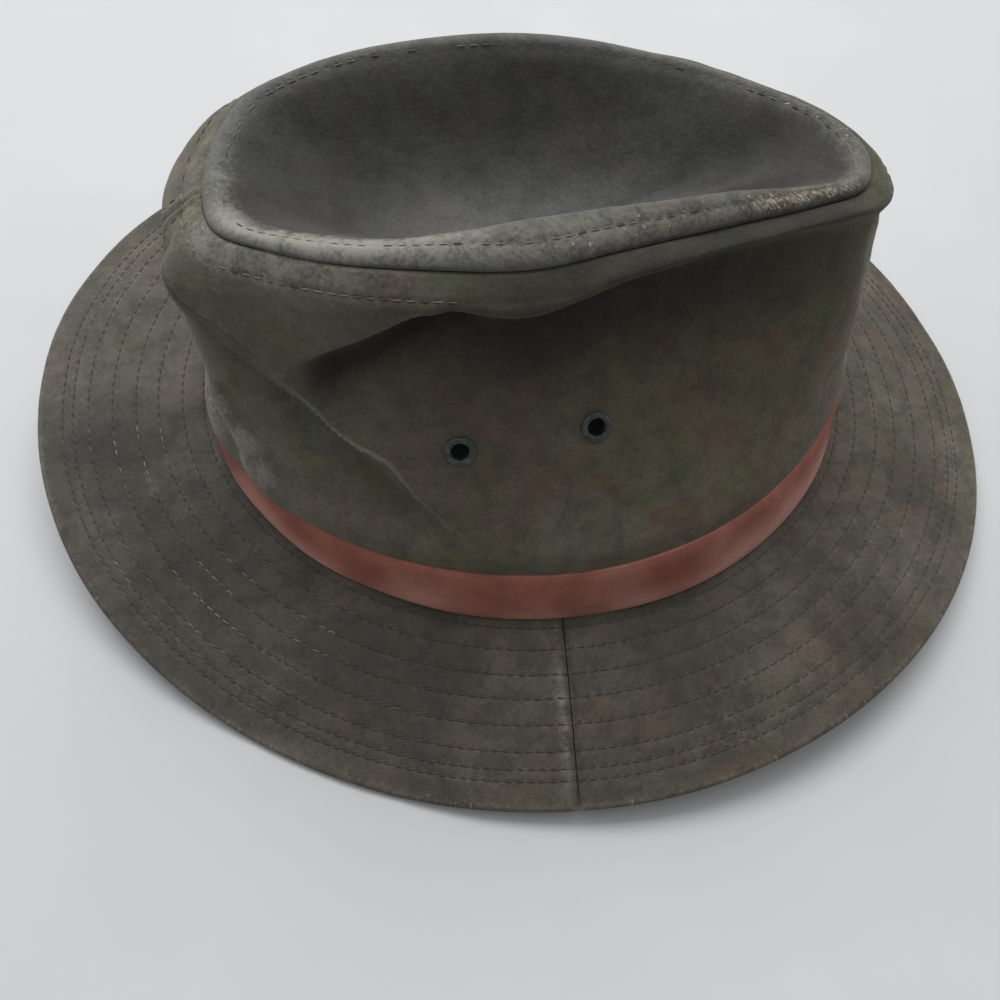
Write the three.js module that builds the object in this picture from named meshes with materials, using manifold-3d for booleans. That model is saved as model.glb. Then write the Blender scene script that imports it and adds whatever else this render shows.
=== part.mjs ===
// A soft bush hat of thin olive leather, cut and sewn: a wall and a dished teardrop tip for the crown,
// a brim of two halves, a brown leather band and four metal eyelets.
// Millimetres. +X is the front, +Y the wearer's left, +Z up. The brim's edge rests on z = 0.

import * as THREE from 'three';
import Module from 'manifold-3d';

// Crown
const crownLength = 206;      // outside of the wall, where it stands on the brim
const crownWidth = 172;
const crownHeight = 100;      // from the brim up to the tip's seam at its highest
const crownForward = 1.4;     // the crown's middle lies this far ahead of the brim's
const wallThick = 1.8;
const footBelly = 2;          // how far the wall swells just above the band
const dentDepth = 12;         // how far the side is pushed in under the rim
const lip = 10;               // the wall's roll just outside the tip's seam

// Tip
const tipLength = 178;        // over its seam, front to back
const tipWidth = 82;
const tipThick = 1.8;
const roll = 10;              // the tip's own roll just inside its seam
const dishDepth = 30;         // from the highest seam down to the bottom of the dish
const dishBehind = 10;        // the bottom lies this far behind the crown's middle

// Brim
const brimLength = 319.6;
const brimWidth = 281.6;
const brimThick = 3;
const brimFlip = 20.5;        // how high the brim's edge stands at the back
const brimBow = 1.5;          // how far the brim arches between the crown and its edge
const brimPress = 3.4;        // width of the strip along the edge that lies flat on what it rests on
const seatHeight = 21.3;      // top of the brim where the crown stands on it
const seatDrop = 2.7;         // lower at the crown's front than at its back
const sideSeamTurn = 275;     // where the brim's halves meet on the wearer's right

// Band
const bandWidth = 18;
const bandThick = 2;

// Eyelets
const eyeletFlange = 8.6;
const eyeletHole = 5;
const eyeletBarrel = 6;
const eyeletRise = 50.5;      // from the brim up to the holes
const eyeletPitch = 37;       // between the two holes of a side
const eyeletMiddle = -1.9;    // middle of a pair, ahead of the crown's middle
const eyeletFace = 0.8;       // thickness of the flange
const eyeletGap = 0.4;

// Clearance between pieces that are sewn or laid together
const sewn = 0.3;

// Steps of the meshes, and the rows of each grid: up the wall, in from the tip's seam and out over the
// brim, as shares of the way
const stepsRound = 90;
const eyeletSides = 10;
const wallRows = [0, 0.09, 0.18, 0.28, 0.38, 0.48, 0.58, 0.66, 0.73, 0.79, 0.84, 0.88, 0.94, 1];
const tipRows = [0, 0.1, 0.2, 0.34, 0.5, 0.72, 1];
const brimRows = [0.75, 0.5, 0.25, 0];
const bandRows = [0, 0.5, 1];

// A table of rows with named columns
function table(names, ...rows) {
  return rows.map((row) => Object.fromEntries(names.map((name, k) => [name, row[k]])));
}

// Sections round the crown, by turn of the base oval in degrees. seamX and seamY are shares of half
// the tip's length and width, seamUp of the crown's height, lipOut and lipDown of the lip, underIn,
// tuckIn and waistIn of the dent, footOut of the belly, crestIn and crestUp of the roll. steep is the
// power that sets how late the dish levels out.
const sections = table(
  ['turn', 'seamX', 'seamY', 'seamUp', 'lipOut', 'lipDown', 'underIn', 'tuckIn', 'waistIn', 'footOut',
    'crestIn', 'crestUp', 'steep'],
  [0, 1.01, 0.17, 0.89, 0.85, 0.45, 0.12, 0.05, 0.00, -0.2, 0.50, 0.20, 1.2],
  [15, 0.98, 0.39, 0.90, 0.80, 0.38, 0.08, 0.00, -0.05, -0.2, 0.40, 0.20, 1.6],
  [30, 0.87, 0.61, 0.92, 0.72, 0.34, 0.05, 0.05, 0.00, 0.0, 0.40, 0.20, 2.0],
  [60, 0.47, 0.91, 0.97, 0.48, 0.42, 0.10, 0.20, 0.10, 0.5, 0.40, 0.20, 2.2],
  [90, -0.01, 1.06, 1.00, 0.30, 0.60, 0.15, 0.30, 0.20, 0.7, 0.40, 0.20, 2.2],
  [120, -0.50, 0.955, 0.98, 0.20, 0.60, 0.15, 0.30, 0.20, 0.5, 0.40, 0.20, 2.2],
  [150, -0.85, 0.64, 0.94, 0.75, 0.65, 0.10, 0.15, 0.10, 0.2, 0.40, 0.20, 2.2],
  [170, -0.955, 0.23, 0.92, 1.15, 0.80, 0.00, -0.05, -0.05, 0.0, 0.40, 0.20, 2.2],
  [190, -0.96, -0.25, 0.92, 1.15, 0.90, -0.10, -0.15, -0.10, 0.2, 0.40, 0.20, 2.0],
  [205, -0.90, -0.55, 0.93, 1.05, 1.00, -0.10, -0.10, 0.00, 0.4, 0.40, 0.20, 1.4],
  [220, -0.75, -0.72, 0.95, 0.80, 1.00, 0.00, 0.00, 0.05, 0.8, 0.40, 0.20, 1.2],
  [238, -0.53, -0.88, 0.98, 0.70, 0.95, 0.15, 0.35, 0.20, 1.0, 0.50, 0.25, 1.2],
  [255, -0.26, -0.95, 1.00, 0.65, 0.60, 0.75, 1.05, 0.40, 1.0, 0.70, 0.45, 1.4],
  [270, -0.03, -0.935, 1.00, 0.65, 0.90, 1.05, 1.40, 0.65, 1.0, 0.90, 0.70, 1.8],
  [285, 0.21, -0.76, 0.99, 0.60, 0.36, 1.05, 1.45, 0.90, 0.9, 0.90, 0.70, 2.4],
  [300, 0.43, -0.57, 0.97, 0.55, 0.25, 0.95, 1.30, 0.85, 0.7, 0.90, 0.70, 2.6],
  [315, 0.64, -0.37, 0.94, 0.55, 0.20, 0.85, 1.05, 0.60, 0.4, 0.90, 0.65, 2.4],
  [330, 0.82, -0.19, 0.91, 0.60, 0.18, 0.65, 0.70, 0.30, 0.0, 0.80, 0.55, 2.2],
  [345, 0.96, -0.02, 0.89, 0.75, 0.28, 0.35, 0.30, 0.08, -0.2, 0.60, 0.40, 1.8],
);

// Heights of the wall's key points: on the line from the foot up to the lip, and along the meridian
const wallKeys = table(
  ['key', 'line', 'along'],
  ['base', 0, 0],
  ['foot', 0.24, 0.2],
  ['waist', 0.55, 0.45],
  ['tuck', 0.84, 0.72],
  ['under', 0.92, 0.81],
  ['lip', 1, 0.88],
  ['seam', 1, 1],
);

// Folds in the wall, each from one turn and height to another. ridge is how far its line stands
// out, hollow how far the side below it sinks in, and spread is the width of both, all in shares of
// the dent's depth. A fold fades out over foldFade of its length at either end, and below foldFoot of
// the wall's height, where the band holds the wall.
const foldFade = 0.1;
const foldFoot = 0.3;
const foldSharpness = 4;
const folds = table(
  ['turnA', 'upA', 'turnB', 'upB', 'ridge', 'hollow', 'spread'],
  [196, 0.92, 256, 0.3, 0.26, 0.34, 0.75],
  [204, 0.42, 228, 0.18, 0.16, 0.16, 0.8],
  [230, 0.64, 262, 0.9, 0.1, 0.6, 0.75],
);

// The brim's edge round the hat. lift is its height in shares of the flip at the back, and it rests
// where that is below nought. reach is its distance from the middle in shares of the brim's oval.
const brimEdge = table(
  ['turn', 'lift', 'reach'],
  [0, 0.07, 1],
  [30, -0.1, 1],
  [60, 0.06, 1],
  [95, -0.1, 1],
  [120, 0.18, 1],
  [150, 0.78, 1],
  [165, 0.96, 1],
  [180, 1, 1],
  [195, 0.83, 1],
  [210, 0.53, 0.998],
  [225, 0.22, 0.99],
  [245, -0.1, 0.985],
  [270, 0.12, 0.998],
  [285, 0.33, 1.01],
  [300, 0.49, 1.015],
  [315, 0.53, 1.015],
  [330, 0.42, 1.012],
  [345, 0.24, 1.005],
);

function hermite(a, b, slopeA, slopeB, span, s) {
  const s2 = s * s;
  const s3 = s2 * s;
  return a * (2 * s3 - 3 * s2 + 1) + b * (3 * s2 - 2 * s3)
    + span * (slopeA * (s3 - 2 * s2 + s) + slopeB * (s3 - s2));
}

// One column of a table as a smooth closed curve, read at any turn in degrees
function column(rows, name) {
  const count = rows.length;
  const row = (k) => rows[(k + count) % count];
  const turnOf = (k) => row(k).turn + 360 * Math.floor(k / count);
  const slopeOf = (k) => (row(k + 1)[name] - row(k - 1)[name]) / (turnOf(k + 1) - turnOf(k - 1));
  return (turn) => {
    const wrapped = ((turn % 360) + 360) % 360;
    let k = count - 1;
    while (turnOf(k) > wrapped) k -= 1;
    const span = turnOf(k + 1) - turnOf(k);
    const s = (wrapped - turnOf(k)) / span;
    return hermite(row(k)[name], row(k + 1)[name], slopeOf(k), slopeOf(k + 1), span, s);
  };
}

const section = Object.fromEntries(Object.keys(sections[0]).map((name) => [name, column(sections, name)]));
const brimLift = column(brimEdge, 'lift');
const brimReach = column(brimEdge, 'reach');

// Height of the brim's top where the crown stands, a plane that drops towards the front
function seatAt(x) {
  return seatHeight - seatDrop * (x - crownForward) / crownLength;
}

// Outside of the crown's foot, and the level direction that points away from it there
function footPoint(turn) {
  const angle = THREE.MathUtils.degToRad(turn);
  const x = crownForward + crownLength / 2 * Math.cos(angle);
  const y = crownWidth / 2 * Math.sin(angle);
  return new THREE.Vector3(x, y, seatAt(x) + sewn);
}

function outward(turn) {
  const angle = THREE.MathUtils.degToRad(turn);
  return new THREE.Vector3(Math.cos(angle) / crownLength, Math.sin(angle) / crownWidth, 0).normalize();
}

// The line along which the wall and the tip are sewn
function seamPoint(turn) {
  const x = crownForward + tipLength / 2 * section.seamX(turn);
  const y = tipWidth / 2 * section.seamY(turn);
  return new THREE.Vector3(x, y, seatAt(x) + crownHeight * section.seamUp(turn));
}

// How far the folds move the wall outwards at a turn and height
function foldAt(turn, up) {
  const round = crownWidth * Math.PI / 360;
  let move = 0;
  for (const fold of folds) {
    const along = new THREE.Vector2((fold.turnB - fold.turnA) * round, (fold.upB - fold.upA) * crownHeight);
    const from = new THREE.Vector2((turn - fold.turnA) * round, (up - fold.upA) * crownHeight);
    const length = along.length();
    const run = from.dot(along) / length / length;
    const across = from.cross(along) / length / (fold.spread * dentDepth);
    const past = Math.max(0, Math.abs(run - 0.5) - 0.5 + foldFade) / foldFade;
    const fade = Math.exp(-past * past);
    const rise = fold.ridge * Math.exp(-foldSharpness * across * across);
    const sink = fold.hollow * Math.max(0, across) * Math.exp(1 - across * across);
    move += dentDepth * fade * (rise - sink);
  }
  const held = Math.min(1, up / foldFoot);
  return move * held * held;
}

// A point of the wall's outside: a smooth line up through its key points from the base to the seam
function wallPoint(turn, up) {
  const base = footPoint(turn);
  const seam = seamPoint(turn);
  const out = outward(turn);
  const edge = seam.clone().addScaledVector(out, lip * section.lipOut(turn));
  edge.z -= lip * section.lipDown(turn);
  const moves = {
    base: 0,
    foot: footBelly * section.footOut(turn),
    waist: -dentDepth * section.waistIn(turn),
    tuck: -dentDepth * section.tuckIn(turn),
    under: -dentDepth * section.underIn(turn),
    lip: 0,
  };
  const points = wallKeys.map(({ key, line }) => {
    if (key === 'seam') return seam;
    return base.clone().lerp(edge, line).addScaledVector(out, moves[key]);
  });
  const last = wallKeys.length - 1;
  const slope = (k) => {
    const a = Math.max(0, k - 1);
    const b = Math.min(last, k + 1);
    return points[b].clone().sub(points[a]).divideScalar(wallKeys[b].along - wallKeys[a].along);
  };
  let k = last - 1;
  while (wallKeys[k].along > up && k > 0) k -= 1;
  const span = wallKeys[k + 1].along - wallKeys[k].along;
  const s = (up - wallKeys[k].along) / span;
  const [slopeA, slopeB] = [slope(k), slope(k + 1)];
  const point = new THREE.Vector3();
  for (const axis of ['x', 'y', 'z']) {
    point[axis] = hermite(points[k][axis], points[k + 1][axis], slopeA[axis], slopeB[axis], span, s);
  }
  return point.addScaledVector(out, foldAt(turn, up));
}

// A point of the tip's top: over the roll inside the seam, then down into the dish. The crest of the
// roll lies at a fixed share of the way in.
const crestAt = 0.2;

function tipPoint(turn, inwards) {
  const seam = seamPoint(turn);
  const middle = new THREE.Vector3(crownForward - dishBehind, 0, seam.z);
  const bottom = seatAt(middle.x) + crownHeight - dishDepth;
  const reach = middle.distanceTo(seam);
  const crestIn = roll * section.crestIn(turn);
  const crestUp = roll * section.crestUp(turn);
  const point = new THREE.Vector3();
  if (inwards < crestAt) {
    const s = inwards / crestAt;
    point.lerpVectors(seam, middle, crestIn * s / reach);
    point.z = seam.z + crestUp * Math.sin(s * Math.PI / 2);
    return point;
  }
  const s = (inwards - crestAt) / (1 - crestAt);
  point.lerpVectors(seam, middle, (crestIn + (reach - crestIn) * s) / reach);
  const left = Math.pow(1 - s, section.steep(turn));
  point.z = bottom + (seam.z + crestUp - bottom) * left * left * (3 - 2 * left);
  return point;
}

// Small steps for slopes on a surface: in degrees round the hat, and in shares of the other way
const turnStep = 0.5;
const alongStep = 0.01;

// Unit normals of a surface by turn and a second measure, pointing out of the hat
function normalOf(surface, turn, along, low, high) {
  const a = surface(turn - turnStep, along);
  const b = surface(turn + turnStep, along);
  const c = surface(turn, Math.max(low, along - alongStep));
  const d = surface(turn, Math.min(high, along + alongStep));
  return b.sub(a).cross(d.sub(c)).normalize();
}

// The edge of a sewn piece on its own surface, half the clearance short of the seam
function sewnEdge(surface, turn, seam, inside) {
  const edge = surface(turn, seam);
  const away = surface(turn, inside).sub(edge).normalize();
  return edge.addScaledVector(away, sewn / 2);
}

// Both walls end at the tip's seam on one shared direction, half way between their own normals
function seamNormal(turn) {
  const wall = normalOf(wallPoint, turn, 1, 0, 1);
  return wall.add(normalOf(tipPoint, turn, 0, 0, 1)).normalize();
}

// A closed body between two matching grids of points. Rows run along the piece and columns round it;
// a round piece joins its last column to its first, and a pole is a last row of one point.
function walledBody(outer, inner, { round, pole = false }) {
  const rows = outer.length;
  const columns = outer[0].length;
  const positions = [];
  const place = (grid) => grid.map((row, j) => {
    if (pole && j === rows - 1) {
      positions.push(row[0].x, row[0].y, row[0].z);
      const id = positions.length / 3 - 1;
      return row.map(() => id);
    }
    return row.map((point) => {
      positions.push(point.x, point.y, point.z);
      return positions.length / 3 - 1;
    });
  });
  const faces = [];
  const quad = (a, b, c, d) => {
    if (a !== b) faces.push(a, b, c);
    if (c !== d) faces.push(a, c, d);
  };
  const outside = place(outer);
  const inside = place(inner);
  const lastColumn = round ? columns : columns - 1;
  for (let i = 0; i < lastColumn; i += 1) {
    const n = (i + 1) % columns;
    for (let j = 0; j < rows - 1; j += 1) {
      quad(outside[j][i], outside[j][n], outside[j + 1][n], outside[j + 1][i]);
      quad(inside[j][n], inside[j][i], inside[j + 1][i], inside[j + 1][n]);
    }
    quad(inside[0][i], inside[0][n], outside[0][n], outside[0][i]);
    if (!pole) quad(outside[rows - 1][i], outside[rows - 1][n], inside[rows - 1][n], inside[rows - 1][i]);
  }
  if (!round) {
    const e = columns - 1;
    for (let j = 0; j < rows - 1; j += 1) {
      quad(inside[j][0], outside[j][0], outside[j + 1][0], inside[j + 1][0]);
      quad(outside[j][e], inside[j][e], inside[j + 1][e], outside[j + 1][e]);
    }
  }
  const geometry = new THREE.BufferGeometry();
  geometry.setAttribute('position', new THREE.Float32BufferAttribute(positions, 3));
  geometry.setIndex(faces);
  return geometry;
}

const turns = Array.from({ length: stepsRound }, (_, i) => i * 360 / stepsRound);

// The crown's wall, thickened inwards, with a flat foot on the brim
function crownSideGeometry() {
  const outer = [];
  const inner = [];
  for (const up of wallRows) {
    const outerRow = [];
    const innerRow = [];
    for (const turn of turns) {
      const atSeam = up === 1;
      const point = atSeam ? sewnEdge(wallPoint, turn, 1, 1 - alongStep) : wallPoint(turn, up);
      const normal = atSeam ? seamNormal(turn) : normalOf(wallPoint, turn, up, 0, 1);
      const inside = point.clone().addScaledVector(normal, -wallThick);
      if (up === 0) inside.copy(point).addScaledVector(outward(turn), -wallThick);
      outerRow.push(point);
      innerRow.push(inside);
    }
    outer.push(outerRow);
    inner.push(innerRow);
  }
  return walledBody(outer, inner, { round: true });
}

// The tip, thickened downwards from its seam to the bottom of the dish
function crownTipGeometry() {
  const outer = [];
  const inner = [];
  for (const step of tipRows) {
    const outerRow = [];
    const innerRow = [];
    for (const turn of turns) {
      const atSeam = step === 0;
      const point = atSeam ? sewnEdge(tipPoint, turn, 0, alongStep) : tipPoint(turn, step);
      let normal = new THREE.Vector3(0, 0, 1);
      if (atSeam) normal = seamNormal(turn);
      else if (step < 1) normal = normalOf(tipPoint, turn, step, 0, 1);
      outerRow.push(point);
      innerRow.push(point.clone().addScaledVector(normal, -tipThick));
    }
    outer.push(outerRow);
    inner.push(innerRow);
  }
  return walledBody(outer, inner, { round: true, pole: true });
}

// A point of the brim's top. Nought is the line of the crown's foot and one the brim's edge. It bends
// flat where its edge rests.
function brimPoint(turn, out) {
  const foot = footPoint(turn);
  const angle = THREE.MathUtils.degToRad(turn);
  const edgeX = brimLength / 2 * brimReach(turn) * Math.cos(angle);
  const edgeY = brimWidth / 2 * brimReach(turn) * Math.sin(angle);
  const edge = new THREE.Vector3(edgeX, edgeY, brimThick + brimFlip * brimLift(turn));
  foot.z -= sewn;
  const point = foot.lerp(edge, out);
  point.z = Math.max(brimThick, point.z + 4 * brimBow * out * (1 - out));
  return point;
}

// One half of the brim, from one side seam to the other, with its inner margin under the crown's wall
function brimGeometry(from, to) {
  const count = stepsRound / 2;
  const width = (turn) => brimPoint(turn, 1).distanceTo(brimPoint(turn, 0));
  const halfGapTurn = (out) => THREE.MathUtils.radToDeg(sewn / 2 / (crownWidth / 2 + width(from) * out));
  const top = [];
  const under = [];
  const rowAt = (place) => {
    const topRow = [];
    const underRow = [];
    for (let i = 0; i <= count; i += 1) {
      const rough = from + (to - from) * i / count;
      const out = place(rough);
      const trim = halfGapTurn(Math.max(0, out));
      const turn = THREE.MathUtils.clamp(rough, from + trim, to - trim);
      const point = brimPoint(turn, Math.max(0, out));
      if (out < 0) point.addScaledVector(outward(turn), -wallThick);
      topRow.push(point);
      const below = point.clone();
      below.z = point.z - brimThick;
      underRow.push(below);
    }
    top.push(topRow);
    under.push(underRow);
  };
  rowAt(() => 1);
  rowAt((turn) => 1 - brimPress / width(turn));
  for (const out of brimRows) rowAt(() => out);
  rowAt(() => -1);
  return walledBody(top, under, { round: false });
}

// The height share at which the wall has climbed so far above the brim
function upAtRise(turn, rise) {
  let low = 0;
  let high = 1;
  for (let k = 0; k < 30; k += 1) {
    const middle = (low + high) / 2;
    const point = wallPoint(turn, middle);
    if (point.z - seatAt(point.x) < rise) low = middle;
    else high = middle;
  }
  return (low + high) / 2;
}

// The band, a plain strip laid round the foot of the wall
function bandGeometry() {
  const outer = [];
  const inner = [];
  for (const share of bandRows) {
    const outerRow = [];
    const innerRow = [];
    for (const turn of turns) {
      const up = upAtRise(turn, sewn + bandWidth * share);
      const point = wallPoint(turn, up).addScaledVector(outward(turn), sewn);
      innerRow.push(point);
      outerRow.push(point.clone().addScaledVector(outward(turn), bandThick));
    }
    outer.push(outerRow);
    inner.push(innerRow);
  }
  return walledBody(outer, inner, { round: true });
}

// Where an eyelet goes through the wall: the turn and height share at a place along the hat
function eyeletPlace(side, along) {
  const wanted = crownForward + eyeletMiddle + along;
  let turn = side * 90;
  let up = 0.5;
  for (let k = 0; k < 40; k += 1) {
    const x = wallPoint(turn, up).x;
    turn += side * THREE.MathUtils.radToDeg((x - wanted) / crownLength);
    up = upAtRise(turn, eyeletRise);
  }
  return { turn, up };
}

// Turns a mesh's own +Z to a direction and puts it at a point
function setAlong(object, point, direction) {
  object.position.copy(point);
  object.quaternion.setFromUnitVectors(new THREE.Vector3(0, 0, 1), direction);
  object.updateMatrixWorld(true);
}

// How far the wall's faces stand up to or below the plane through an eyelet's centre, inside its flange
function wallUnder(centre, normal, place) {
  let highest = 0;
  let lowest = 0;
  for (let k = 0; k < eyeletSides; k += 1) {
    const angle = k * 2 * Math.PI / eyeletSides;
    const dTurn = THREE.MathUtils.radToDeg(eyeletFlange / crownLength) * Math.cos(angle);
    const dUp = eyeletFlange / 2 / crownHeight * Math.sin(angle);
    const height = wallPoint(place.turn + dTurn, place.up + dUp).sub(centre).dot(normal);
    highest = Math.max(highest, height);
    lowest = Math.min(lowest, height);
  }
  return { highest, lowest };
}

// A turned ring: a face flange, the barrel through the wall and a rolled flange behind it. Rims are
// rounded by shares of the flange's radius and thickness.
const rimIn = 0.95;
const rimHeight = 0.65;

function eyeletGeometry({ highest, lowest }) {
  const front = highest + eyeletGap;
  const back = lowest - wallThick - eyeletGap;
  const hole = eyeletHole / 2;
  const barrel = eyeletBarrel / 2;
  const flange = eyeletFlange / 2;
  const profile = [
    [hole, back - eyeletFace],
    [flange * rimIn, back - eyeletFace * rimHeight],
    [flange * rimIn, back],
    [barrel, back],
    [barrel, front],
    [flange, front],
    [flange * rimIn, front + eyeletFace * rimHeight],
    [(hole + flange) / 2, front + eyeletFace],
    [hole, front + eyeletFace * rimHeight],
    [hole, back - eyeletFace],
  ].map(([r, h]) => new THREE.Vector2(r, h));
  const geometry = new THREE.LatheGeometry(profile, eyeletSides);
  geometry.rotateX(Math.PI / 2);
  return geometry;
}

const wasm = await Module();
wasm.setup();

// A geometry as a solid: its vertices merged where they share a place
function toSolid(geometry) {
  const position = geometry.getAttribute('position');
  const index = geometry.getIndex();
  const ids = new Map();
  const vertices = [];
  const idOf = (k) => {
    const point = [position.getX(k), position.getY(k), position.getZ(k)];
    const key = point.map((value) => Math.round(value * 1e4)).join();
    if (!ids.has(key)) {
      ids.set(key, vertices.length / 3);
      vertices.push(...point);
    }
    return ids.get(key);
  };
  const triangles = [];
  for (let k = 0; k < index.count; k += 3) {
    const face = [0, 1, 2].map((n) => idOf(index.getX(k + n)));
    if (new Set(face).size === 3) triangles.push(...face);
  }
  return new wasm.Manifold(new wasm.Mesh({
    numProp: 3,
    vertProperties: new Float32Array(vertices),
    triVerts: new Uint32Array(triangles),
  }));
}

function toGeometry(solid) {
  const { numProp, vertProperties, triVerts } = solid.getMesh();
  const positions = [];
  for (let k = 0; k < vertProperties.length; k += numProp) {
    positions.push(vertProperties[k], vertProperties[k + 1], vertProperties[k + 2]);
  }
  const geometry = new THREE.BufferGeometry();
  geometry.setAttribute('position', new THREE.Float32BufferAttribute(positions, 3));
  geometry.setIndex(Array.from(triVerts));
  return geometry;
}

function finish(colour, roughness, metalness = 0) {
  return new THREE.MeshStandardMaterial({ color: colour, roughness, metalness });
}

const tipLeather = finish(0x3d3c34, 0.95);
const wallLeather = finish(0x43402f, 0.92);
const brimLeather = finish(0x403d33, 0.95);
const bandLeather = finish(0x7a4335, 0.7);
const dullMetal = finish(0x5c6660, 0.5, 0.8);

const hat = new THREE.Group();

function add(name, geometry, material) {
  geometry.computeVertexNormals();
  const mesh = new THREE.Mesh(geometry, material);
  mesh.name = name;
  hat.add(mesh);
  return mesh;
}

// The eyelets, and the holes that they pass through
let wall = toSolid(crownSideGeometry());
for (const [sideName, side] of [['right', -1], ['left', 1]]) {
  for (const [endName, end] of [['front', 1], ['rear', -1]]) {
    const place = eyeletPlace(side, end * eyeletPitch / 2);
    const centre = wallPoint(place.turn, place.up);
    const normal = normalOf(wallPoint, place.turn, place.up, 0, 1);
    const hole = new THREE.CylinderGeometry(1, 1, 1, eyeletSides);
    hole.rotateX(Math.PI / 2);
    const holeRadius = eyeletBarrel / 2 + sewn;
    const cutter = new THREE.Mesh(hole);
    cutter.scale.set(holeRadius, holeRadius, 6 * wallThick);
    setAlong(cutter, centre, normal);
    hole.applyMatrix4(cutter.matrixWorld);
    wall = wall.subtract(toSolid(hole));
    const eyelet = eyeletGeometry(wallUnder(centre, normal, place));
    const ring = add(`eyelet_${sideName}_${endName}`, eyelet, dullMetal);
    setAlong(ring, centre, normal);
  }
}

add('crown_side', toGeometry(wall), wallLeather);
add('crown_tip', crownTipGeometry(), tipLeather);
add('brim_front', brimGeometry(sideSeamTurn - 360, sideSeamTurn - 180), brimLeather);
add('brim_back', brimGeometry(sideSeamTurn - 180, sideSeamTurn), brimLeather);
add('hat_band', bandGeometry(), bandLeather);

export default hat;
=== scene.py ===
import math

import bpy
import numpy as np
from mathutils import Matrix, Vector


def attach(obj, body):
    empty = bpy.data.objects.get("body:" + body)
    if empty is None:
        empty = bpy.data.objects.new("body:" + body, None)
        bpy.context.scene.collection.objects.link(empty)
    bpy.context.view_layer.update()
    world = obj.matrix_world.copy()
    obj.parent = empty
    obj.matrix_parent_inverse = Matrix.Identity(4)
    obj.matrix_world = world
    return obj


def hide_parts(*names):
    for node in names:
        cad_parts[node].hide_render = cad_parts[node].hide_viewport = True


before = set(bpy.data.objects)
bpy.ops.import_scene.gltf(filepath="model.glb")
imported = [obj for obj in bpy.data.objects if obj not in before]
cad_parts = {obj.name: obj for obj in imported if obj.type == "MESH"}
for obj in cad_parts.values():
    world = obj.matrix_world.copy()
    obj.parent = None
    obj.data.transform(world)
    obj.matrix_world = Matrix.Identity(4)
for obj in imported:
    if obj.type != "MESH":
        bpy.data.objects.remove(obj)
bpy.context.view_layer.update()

MM = 0.001


# The view, the light and the floor. The camera stands over the hat's right side and looks down at it.
# One broad soft light comes from beyond the hat, and the rest is even light from all round.
CAMERA_PLACE = (-0.0146, -0.1923, 0.3042)
CAMERA_DOWN = math.radians(62.79)
CAMERA_TURN = math.radians(-2.97)
CAMERA_ROLL = math.radians(2.78)
WINDOW_PLACE = (-0.12, 1.15, 1.75)
WINDOW_SIZE = (2.2, 1.3)
WINDOW_WATTS = 40
ROOM_BRIGHT = (0.75, 0.77, 0.80)
ROOM_DIM = (0.10, 0.10, 0.10)
ROOM_BRIGHT_WAY = (-0.12, 0.78, 0.6)
FLOOR_COLOUR = (0.595, 0.592, 0.585)


def aimed(forward, roll, place):
    """World matrix of a camera that looks along forward, level, and is then rolled about its own axis."""
    forward = Vector(forward).normalized()
    right = forward.cross(Vector((0, 0, 1))).normalized()
    up = right.cross(forward)
    across = right * math.cos(roll) + up * math.sin(roll)
    above = up * math.cos(roll) - right * math.sin(roll)
    matrix = Matrix((across, above, -forward)).transposed().to_4x4()
    matrix.translation = Vector(place)
    return matrix


camera = bpy.data.objects.new("camera", bpy.data.cameras.new("camera"))
bpy.context.scene.collection.objects.link(camera)
bpy.context.scene.camera = camera
camera.data.sensor_width = 36
camera.data.lens = 36
camera.data.clip_start = 0.01
camera_forward = (
    -math.sin(CAMERA_TURN) * math.cos(CAMERA_DOWN),
    math.cos(CAMERA_TURN) * math.cos(CAMERA_DOWN),
    -math.sin(CAMERA_DOWN),
)
camera.matrix_world = aimed(camera_forward, CAMERA_ROLL, CAMERA_PLACE)

window = bpy.data.objects.new("window_light", bpy.data.lights.new("window_light", "AREA"))
bpy.context.scene.collection.objects.link(window)
window.data.shape = "RECTANGLE"
window.data.size, window.data.size_y = WINDOW_SIZE
window.data.energy = WINDOW_WATTS
window.data.color = (0.95, 0.975, 1.0)
window.matrix_world = aimed(-Vector(WINDOW_PLACE), 0, WINDOW_PLACE)

bpy.context.scene.view_settings.view_transform = "Standard"


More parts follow.
